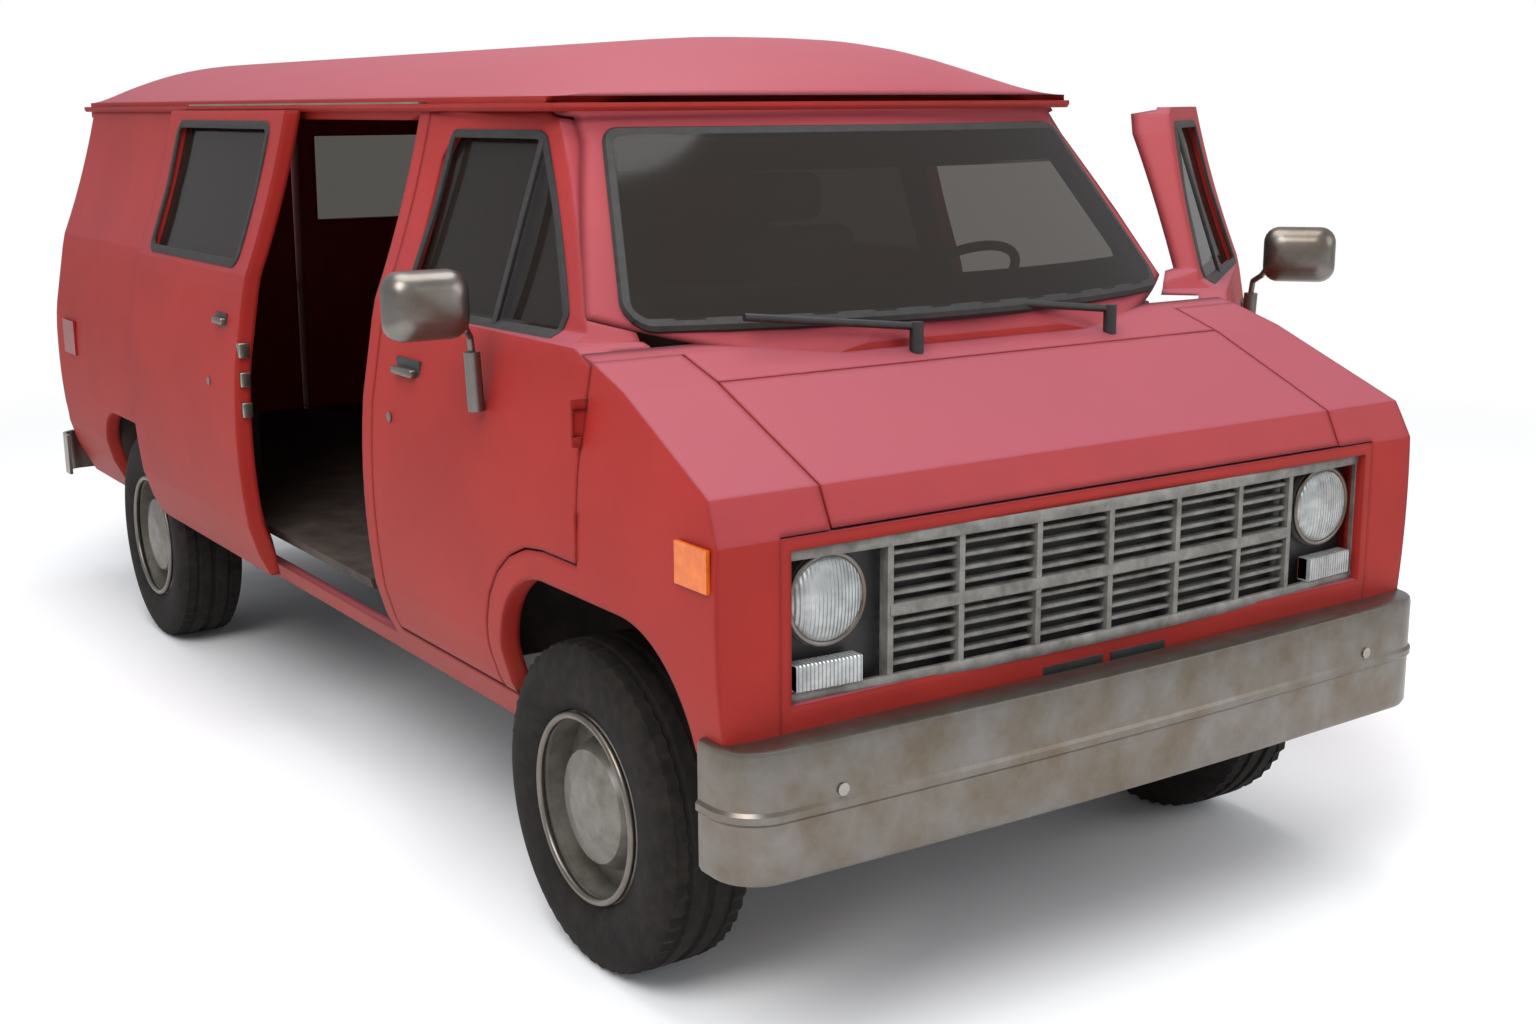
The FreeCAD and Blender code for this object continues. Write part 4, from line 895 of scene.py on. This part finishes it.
@dataclass
class Front:
    """Grille, lamps and bumper, in millimetres.

    A pair of heights gives a bar's lower and upper face, and a pair of depths gives how far its back and
    front stand out from the nose. The bumper's section gives distances outwards from its face and heights
    above the ground.
    """

    nose: float = 3868.0
    bow: float = 44.0
    widest: float = 1009.0
    frame_outline: tuple = ((-862, 745), (862, 745), (862, 1062), (-862, 1062))
    frame_moulding: tuple = (0, 26, 30, 10)
    # The sheet behind the grille is painted shade.
    shade_sheet_half: float = 842.0
    shade_sheet: tuple = (752, 1054)
    shade_sheet_depths: tuple = (-58, -36)
    centre_half: float = 590.0
    middle_bar: tuple = (890, 916)
    middle_depths: tuple = (-22, 6)
    cell_bar: tuple = (766, 1040)
    cell_depths: tuple = (-22, 4)
    cell_bar_half: float = 7.0
    beam_steps: int = 12
    beam_edge: float = 3.0
    cells: tuple = (-590, -412, -206, 0, 206, 412, 590)
    louvre_rows: tuple = (785, 930)
    louvres: int = 4
    louvre_step: float = 28.0
    louvre_height: float = 9.0
    louvre_depths: tuple = (-26, -4)
    slot_heights: tuple = (680, 718)
    slot_depths: tuple = (-20, 1.5)
    slots: tuple = ((-596, -440), (-416, -266), (-240, -12), (12, 180), (204, 396), (420, 560))
    lamp_half: float = 729.0
    lamp_height: float = 945.0
    lamp_radius: float = 87.0
    lens_x: float = 3830.0
    lens_depth: float = 0.24
    bucket_x: tuple = (3796, 3828)
    bucket_radius: float = 98.0
    ring_x: float = 3832.0
    ring_gap: float = 4.0
    ring_bar: float = 6.0
    parking_reach: tuple = (89, 64)
    parking_heights: tuple = (772, 828)
    parking_depths: tuple = (-20, 16)
    bolt_half: float = 777.0
    bolt_x: tuple = (3940, 3956)
    bolt_height: float = 600.0
    bolt_radius: float = 13.0
    bumper_end: tuple = ((3800, -1012), (3830, -1012))
    corner_middle: tuple = (3847, -912)
    corner_radius: float = 100.0
    corner_steps: int = 8
    corner_turn: float = 12.2
    bumper_half: int = 840
    bumper_step: int = 60
    face_x: float = 3970.0
    face_curve: float = 28000.0
    curve_half: float = 469.0
    wing_x: float = 3978.0
    wing_slope: float = 0.0335
    bumper_section: tuple = ((-92, 694), (-88, 702), (-12, 706), (-3, 702), (0, 692), (0, 584), (6, 577),
                             (6, 563), (0, 556), (0, 446), (-6, 434), (-22, 430), (-40, 436), (-30, 470),
                             (-30, 640), (-80, 680))

    def face(self, y: float, z: float, out: float) -> Vector:
        """Lay a point on the bowed front, standing out by a distance."""
        return spot(self.nose - self.bow * (y / self.widest) ** 2 + out, y, z)

    def beam(self, start: float, end: float, low: float, high: float, back: float,
             out: float) -> bpy.types.Object:
        """Run a bar across the front, following its bow.

        Args:
            start: Its right end.
            end: Its left end.
            low: Height of its lower face above the ground.
            high: Height of its upper face.
            back: How far its back stands out from the nose; behind it if negative.
            out: How far its front stands out.

        Returns:
            The bar.
        """
        soft = min(self.beam_edge, (high - low) / 4)
        section = ((back, low), (out - soft, low), (out, low + soft), (out, high - soft),
                   (out - soft, high), (back, high))
        stations = [start + (end - start) * k / self.beam_steps for k in range(self.beam_steps + 1)]
        return loft([[self.face(y, z, depth) for depth, z in section] for y in stations])

    def grille(self) -> None:
        """Make the grille: frame, bars, louvres, the black sheet of painted shade behind them and the dark
        plates of painted shade in the valance's slots.
        """
        half = self.centre_half
        bars = [trim(self.frame_outline, *self.frame_moulding, self.face),
                self.beam(-half, half, *self.middle_bar, *self.middle_depths)]
        for edge in self.cells:
            sides = edge - self.cell_bar_half, edge + self.cell_bar_half
            bars.append(self.beam(*sides, *self.cell_bar, *self.cell_depths))
        for low in self.louvre_rows:
            for k in range(self.louvres):
                bottom = low + self.louvre_step * k
                faces = bottom, bottom + self.louvre_height
                bars.append(self.beam(-half, half, *faces, *self.louvre_depths))
        shape = settle(joined(bars), "grille_moulding", GRILLE_GREY)
        # A black sheet of painted shade behind the bars.
        back = self.beam(-self.shade_sheet_half, self.shade_sheet_half, *self.shade_sheet, *self.shade_sheet_depths)
        back = settle(back, "grille_shade_sheet", WIPER_BLACK)
        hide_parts("grille")
        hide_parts("grille")
        # Dark plates of painted shade stand in the valance's slots.
        slots = [self.beam(*ends, *self.slot_heights, *self.slot_depths) for ends in self.slots]
        settle(joined(slots), "valance_slot_shade", WIPER_BLACK)

    def lamps(self) -> None:
        """Make the headlamps and the parking lamps."""
        z = self.lamp_height
        outer, inner = self.parking_reach
        for side, y in (("right", -self.lamp_half), ("left", self.lamp_half)):
            back, front = (spot(x, y, z) for x in self.bucket_x)
            settle(bar(back, front, self.bucket_radius), f"headlamp_{side}_bucket", GRILLE_GREY)
            bpy.ops.mesh.primitive_torus_add(
                major_radius=(self.lamp_radius + self.ring_gap) * MM, minor_radius=self.ring_bar * MM,
                major_segments=64, minor_segments=12, location=spot(self.ring_x, y, z),
                rotation=(0, math.pi / 2, 0))
            settle(bpy.context.object, f"headlamp_{side}_ring", BUMPER_CHROME)
            bpy.ops.mesh.primitive_uv_sphere_add(
                segments=48, ring_count=24, radius=self.lamp_radius * MM,
                location=spot(self.lens_x, y, z))
            lens = bpy.context.object
            lens.scale.x = self.lens_depth
            lens = settle(lens, f"headlamp_{side}_lens", FLUTED_LENS)
            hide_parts("headlamps")
            ends = (y - outer, y + inner) if y < 0 else (y - inner, y + outer)
            lamp = self.beam(*ends, *self.parking_heights, *self.parking_depths)
            settle(lamp, f"parking_lamp_{side}", FLUTED_LENS)

    def bumper_points(self) -> list[Vector]:
        """Trace the bumper's face in plan.

        Returns:
            The points from its right end to its left.
        """
        side = [spot(x, y, 0) for x, y in self.bumper_end]
        x, y = self.corner_middle
        reach = self.corner_radius
        for k in range(self.corner_steps):
            turn = math.radians(-90 + self.corner_turn * k)
            side.append(spot(x + reach * math.cos(turn), y + reach * math.sin(turn), 0))
        middle = []
        for y in range(-self.bumper_half, self.bumper_half + 1, self.bumper_step):
            curved = self.face_x - y * y / self.face_curve
            x = curved if abs(y) < self.curve_half else self.wing_x - self.wing_slope * abs(y)
            middle.append(spot(x, y, 0))
        return side + middle + [flipped(point) for point in reversed(side)]

    def build(self) -> None:
        """Make the front's pieces."""
        self.grille()
        self.lamps()
        shell = sweep(outward_path(self.bumper_points()), self.bumper_section)
        shell = settle(shell, "front_bumper_shell", BUMPER_CHROME, angle=30)
        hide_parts("front_bumper")
        bolts = []
        for y in (-self.bolt_half, self.bolt_half):
            back, front = (spot(x, y, self.bolt_height) for x in self.bolt_x)
            bolts.append(bar(back, front, self.bolt_radius))
        settle(joined(bolts), "front_bumper_bolts", DULL_CHROME)


@dataclass
class Mirrors:
    """Door mirrors on their curved arms, in millimetres.

    A station pairs a place along the van with how far the head's outline is drawn in there.
    """

    head: tuple = ((-1237, 1390), (-1042, 1390), (-1042, 1542), (-1237, 1542))
    corner: float = 42.0
    stations: tuple = ((2896, 3), (2899, 0), (2924, 0), (2946, 8), (2960, 22), (2967, 40))
    glass_x: tuple = (2893, 2897)
    glass_inset: float = 9.0
    arm_radius: float = 8.0
    post_radius: float = 19.0
    arm: tuple = ((2866, -1006, 1215), (2866, -1012, 1350), (2868, -1016, 1384), (2902, -1040, 1404),
                  (2920, -1062, 1440))

    def build(self) -> None:
        """Make one mirror on each front door."""
        for side, put, body in FRONT_DOORS:
            rings = []
            for x, inset in self.stations:
                outline = rounded(self.head, inset, self.corner - inset / 2)
                rings.append([put(spot(x, at.x, at.y)) for at in outline])
            head = settle(loft(rings), f"mirror_{side}_head", BUMPER_CHROME, body, 40)
            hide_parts(f"front_door_{side}_mirror")
            edge = rounded(self.head, self.glass_inset, self.corner - self.glass_inset)
            glass = [[put(spot(x, at.x, at.y)) for at in edge] for x in self.glass_x]
            settle(loft(glass), f"mirror_{side}_glass", DARK_GLASS_AND_SHADE, body)
            spots = [spot(*at) for at in self.arm]
            tubes = [bar(a, b, self.arm_radius, put) for a, b in zip(spots[1:], spots[2:])]
            tubes.append(bar(spots[0], spots[1], self.post_radius, put))
            settle(joined(tubes), f"mirror_{side}_arm", BUMPER_CHROME, body)


@dataclass
class Tyres:
    """Tyres with grooved treads and shoulder lugs, and bright trim rings, in millimetres.

    The half section pairs radii with distances from the tyre's middle plane.
    """

    steps: int = 112
    wheelbase: float = 3250.0
    track_half: float = 863.0
    radius: float = 374.0
    lug_depth: float = 7.0
    lug_radius: float = 355.0
    lug_start: float = 60.0
    ring_radius: float = 209.0
    ring_bar: float = 9.0
    ring_out: float = 103.0
    bead: tuple = ((214, 80), (214, -80))
    half: tuple = ((221, 96), (250, 108), (290, 113), (322, 112), (346, 106), (363, 98), (371, 90),
                   (374, 62), (366, 58), (366, 50), (374, 46), (374, 12), (366, 8))

    def build(self) -> None:
        """Make the four tyres."""
        profile = [(r, -y) for r, y in self.half] + [(r, y) for r, y in reversed(self.half)]
        profile += self.bead
        for side, y in (("right", -self.track_half), ("left", self.track_half)):
            for end, x in (("front", self.wheelbase), ("rear", 0.0)):
                self.tyre(f"wheel_{end}_{side}", x, y, profile)

    def tyre(self, wheel: str, x: float, y: float, profile: Sequence[tuple[float, float]]) -> None:
        """Make one tyre and its trim ring.

        Args:
            wheel: The wheel body's name.
            x: Place of the axle.
            y: Place of the tyre's middle plane.
            profile: Radius and offset of the section's points.
        """
        rings = []
        for k in range(self.steps):
            turn = 2 * math.pi * k / self.steps
            ring = []
            for radius, off in profile:
                on_shoulder = radius > self.lug_radius and abs(off) > self.lug_start
                reach = radius - (self.lug_depth if k % 2 and on_shoulder else 0.0)
                ring.append(spot(x + reach * math.cos(turn), y + off, self.radius + reach * math.sin(turn)))
            rings.append(ring)
        skin = settle(loft(rings, looped=True), f"{wheel}_tread", TYRE_RUBBER, Body(wheel), 30)
        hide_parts(f"{wheel}_tyre")
        bpy.ops.mesh.primitive_torus_add(
            major_radius=self.ring_radius * MM, minor_radius=self.ring_bar * MM, major_segments=96,
            minor_segments=12, location=spot(x, y + math.copysign(self.ring_out, y), self.radius),
            rotation=(math.pi / 2, 0, 0))
        settle(bpy.context.object, f"{wheel}_trim_ring", BUMPER_CHROME, Body(wheel))


@dataclass
class Fittings:
    """Handles, locks and latches on the panels, in millimetres.

    A plate's values are its place along the body, its height above the ground, its length, its own
    height and its thickness.
    """

    # A dish plate is painted shade in the hollow behind a handle.
    door_recess_shade: tuple = (2432, 1262, 138, 44, 3)
    door_handle: tuple = (2424, 1252, 122, 20, 20)
    door_lock: tuple = (2349, 1130)
    slider_recess_shade: tuple = (1196, 1270, 96, 44, 3)
    slider_handle: tuple = (1196, 1270, 84, 20, 20)
    slider_lock: tuple = (1115, 1080)
    latch_low: tuple = (1346, -1052)
    latch_high: tuple = (1368, -1020)
    latch_half: float = 22.0
    latch_heights: tuple = (1196, 1110, 1020)
    rear_handle: tuple = ((-1098, -60, 1120), (-1070, 40, 1150), 5)

    def build(self) -> None:
        """Make the handles and locks."""
        for side, put, body in FRONT_DOORS:
            door = f"front_door_{side}"
            # The black dish plate is painted shade in the handle's recess.
            settle(side_plate(*self.door_recess_shade, put), f"{door}_recess_shade", WIPER_BLACK, body)
            settle(side_plate(*self.door_handle, put), f"{door}_handle", BUMPER_CHROME, body)
            settle(side_lock(*self.door_lock, put), f"{door}_lock", BUMPER_CHROME, body)
        # The black dish plate is painted shade in the handle's recess.
        settle(side_plate(*self.slider_recess_shade, extra=SLIDER_OUT), "sliding_door_recess_shade", WIPER_BLACK)
        settle(side_plate(*self.slider_handle, extra=SLIDER_OUT), "sliding_door_handle", BUMPER_CHROME)
        settle(side_lock(*self.slider_lock, extra=SLIDER_OUT), "sliding_door_lock", BUMPER_CHROME)
        for z in self.latch_heights:
            latch = slab((*self.latch_low, z - self.latch_half), (*self.latch_high, z + self.latch_half), 4)
            settle(latch, f"sliding_door_latch_{z}", DULL_CHROME)
        settle(slab(*self.rear_handle), "rear_door_handle", BUMPER_CHROME, Body.REAR_DOOR_RIGHT)


@dataclass
class Seat:
    """Driver's seat: padded vinyl on a pedestal.

    A pad's row holds its name, its lowest and highest corner and the radius of its edges.
    """

    pedestal: tuple = ((2040, 230, 624), (2480, 600, 900), 12)
    pads: tuple = (("seat_cushion", (2010, 160, 890), (2540, 650, 1040), 45),
                   ("seat_backrest", (1975, 150, 1030), (2100, 660, 1530), 48),
                   ("seat_headrest", (1985, 270, 1545), (2085, 540, 1690), 40))

    def build(self) -> None:
        """Make the pads and the pedestal."""
        settle(slab(*self.pedestal), "seat_pedestal", WIPER_BLACK)
        for name, low, high, soft in self.pads:
            pad = settle(slab(low, high, soft), name, SEAT_VINYL)
            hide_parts("seat_left")


# Studio


@dataclass
class Studio:
    """Pale floor, soft lamps and the camera at the photo's angle, in metres and degrees.

    A lamp's row holds its name, its place, its size and its power in watts.
    """

    camera_spot: Point = (6.631, -2.768, 1.265)
    camera_aim: Point = (2.5935, -0.025, 0.182)
    camera_roll: float = -0.346
    lens_mm: float = 42.994
    floor_half: float = 60.0
    van_middle: Point = (1.5, 0, GROUND)
    lamp_aim: Point = (1.5, 0, 0.3)
    shadow_reach: float = 3.2
    white_reach: float = 8.0
    lamp_rows: tuple = (("key_lamp", (6.0, -5.0, 6.5), 5.0, 520.0),
                        ("top_lamp", (1.5, 0.0, 7.5), 7.0, 520.0),
                        ("fill_lamp", (8.5, 5.0, 3.5), 5.0, 160.0))

    def build(self) -> None:
        """Make the stage, the lights and the camera."""
        self.floor()
        self.lamps()
        self.camera()
        bpy.context.scene.view_settings.view_transform = "Standard"

    def floor(self) -> None:
        """Lay the pale floor, which takes the van's shadow and goes white further out."""
        bpy.ops.mesh.primitive_plane_add(size=2 * self.floor_half, location=(0, 0, GROUND))
        ground = bpy.context.object
        ground.name = "studio_floor"
        made = bpy.data.materials.new("pale_studio_floor")
        made.use_nodes = True
        tree = made.node_tree
        shader = tree.nodes["Principled BSDF"]
        shader.inputs["Base Color"].default_value = linear("#F2F2F2")
        shader.inputs["Roughness"].default_value = 0.9
        spots = add_node(tree, "ShaderNodeTexCoord").outputs["Object"]
        away = add_node(tree, "ShaderNodeVectorMath", {"operation": "DISTANCE"}, {
            0: spots, 1: self.van_middle})
        far = add_node(tree, "ShaderNodeMapRange", None, {
            "Value": away.outputs["Value"], "From Min": self.shadow_reach, "From Max": self.white_reach})
        seen = add_node(tree, "ShaderNodeLightPath").outputs["Is Camera Ray"]
        share = add_node(tree, "ShaderNodeMath", {"operation": "MULTIPLY"}, {
            0: far.outputs["Result"], 1: seen})
        white = add_node(tree, "ShaderNodeEmission", None, {"Color": (1, 1, 1, 1), "Strength": 1.0})
        mix = add_node(tree, "ShaderNodeMixShader", None, {
            0: share.outputs[0], 1: shader.outputs[0], 2: white.outputs[0]})
        tree.links.new(mix.outputs[0], tree.nodes["Material Output"].inputs["Surface"])
        ground.data.materials.append(made)

    def lamps(self) -> None:
        """Hang the soft lamps and set the world."""
        world = bpy.data.worlds.new("studio_world")
        bpy.context.scene.world = world
        world.use_nodes = True
        tree = world.node_tree
        soft = tree.nodes["Background"]
        soft.inputs["Color"].default_value = linear("#E6EAF0")
        soft.inputs["Strength"].default_value = 0.75
        white = add_node(tree, "ShaderNodeBackground", None, {"Color": (1, 1, 1, 1), "Strength": 1.0})
        seen = add_node(tree, "ShaderNodeLightPath")
        mix = add_node(tree, "ShaderNodeMixShader", None, {
            0: seen.outputs["Is Camera Ray"], 1: soft.outputs[0], 2: white.outputs[0]})
        tree.links.new(mix.outputs[0], tree.nodes["World Output"].inputs["Surface"])
        for name, place, size, power in self.lamp_rows:
            light = bpy.data.lights.new(name, "AREA")
            light.shape, light.size, light.energy = "DISK", size, power
            lamp = bpy.data.objects.new(name, light)
            bpy.context.scene.collection.objects.link(lamp)
            lamp.location = place
            aim = Vector(self.lamp_aim) - Vector(place)
            lamp.rotation_euler = aim.to_track_quat("-Z", "Y").to_euler()

    def camera(self) -> None:
        """Stand the camera where the photo was taken."""
        view = bpy.data.cameras.new("photo_camera")
        view.lens, view.sensor_width = self.lens_mm, 36.0
        view.clip_start, view.clip_end = 0.05, 300.0
        stand = bpy.data.objects.new("photo_camera", view)
        bpy.context.scene.collection.objects.link(stand)
        ahead = (Vector(self.camera_aim) - Vector(self.camera_spot)).to_track_quat("-Z", "Y")
        roll = Quaternion((0, 0, 1), math.radians(self.camera_roll))
        stand.location = self.camera_spot
        stand.rotation_euler = (ahead @ roll).to_euler()
        bpy.context.scene.camera = stand


def dress_nodes() -> None:
    """Give every carried-over node its finish, by the record's slots."""
    slots = {row["node"]: row["material_slot"] for row in frame["record"]["subparts"]}
    for name, item in frame["nodes"].items():
        item.data.materials.clear()
        item.data.materials.append(PALETTE.of(SLOT_FINISH[slots[name]]))
        for face in item.data.polygons:
            face.material_index = 0


def main() -> None:
    """Build the scene in order and report each piece."""
    logging.basicConfig(level=logging.INFO)
    bpy.ops.object.select_all(action="DESELECT")
    Studio().build()
    dress_nodes()
    for maker in (Roof(), Windows(), Front(), Mirrors(), Tyres(), Fittings(), Seat()):
        maker.build()
    LOG.info("finished nodes: %d", len(frame["nodes"]))


if __name__ == "__main__":
    main()
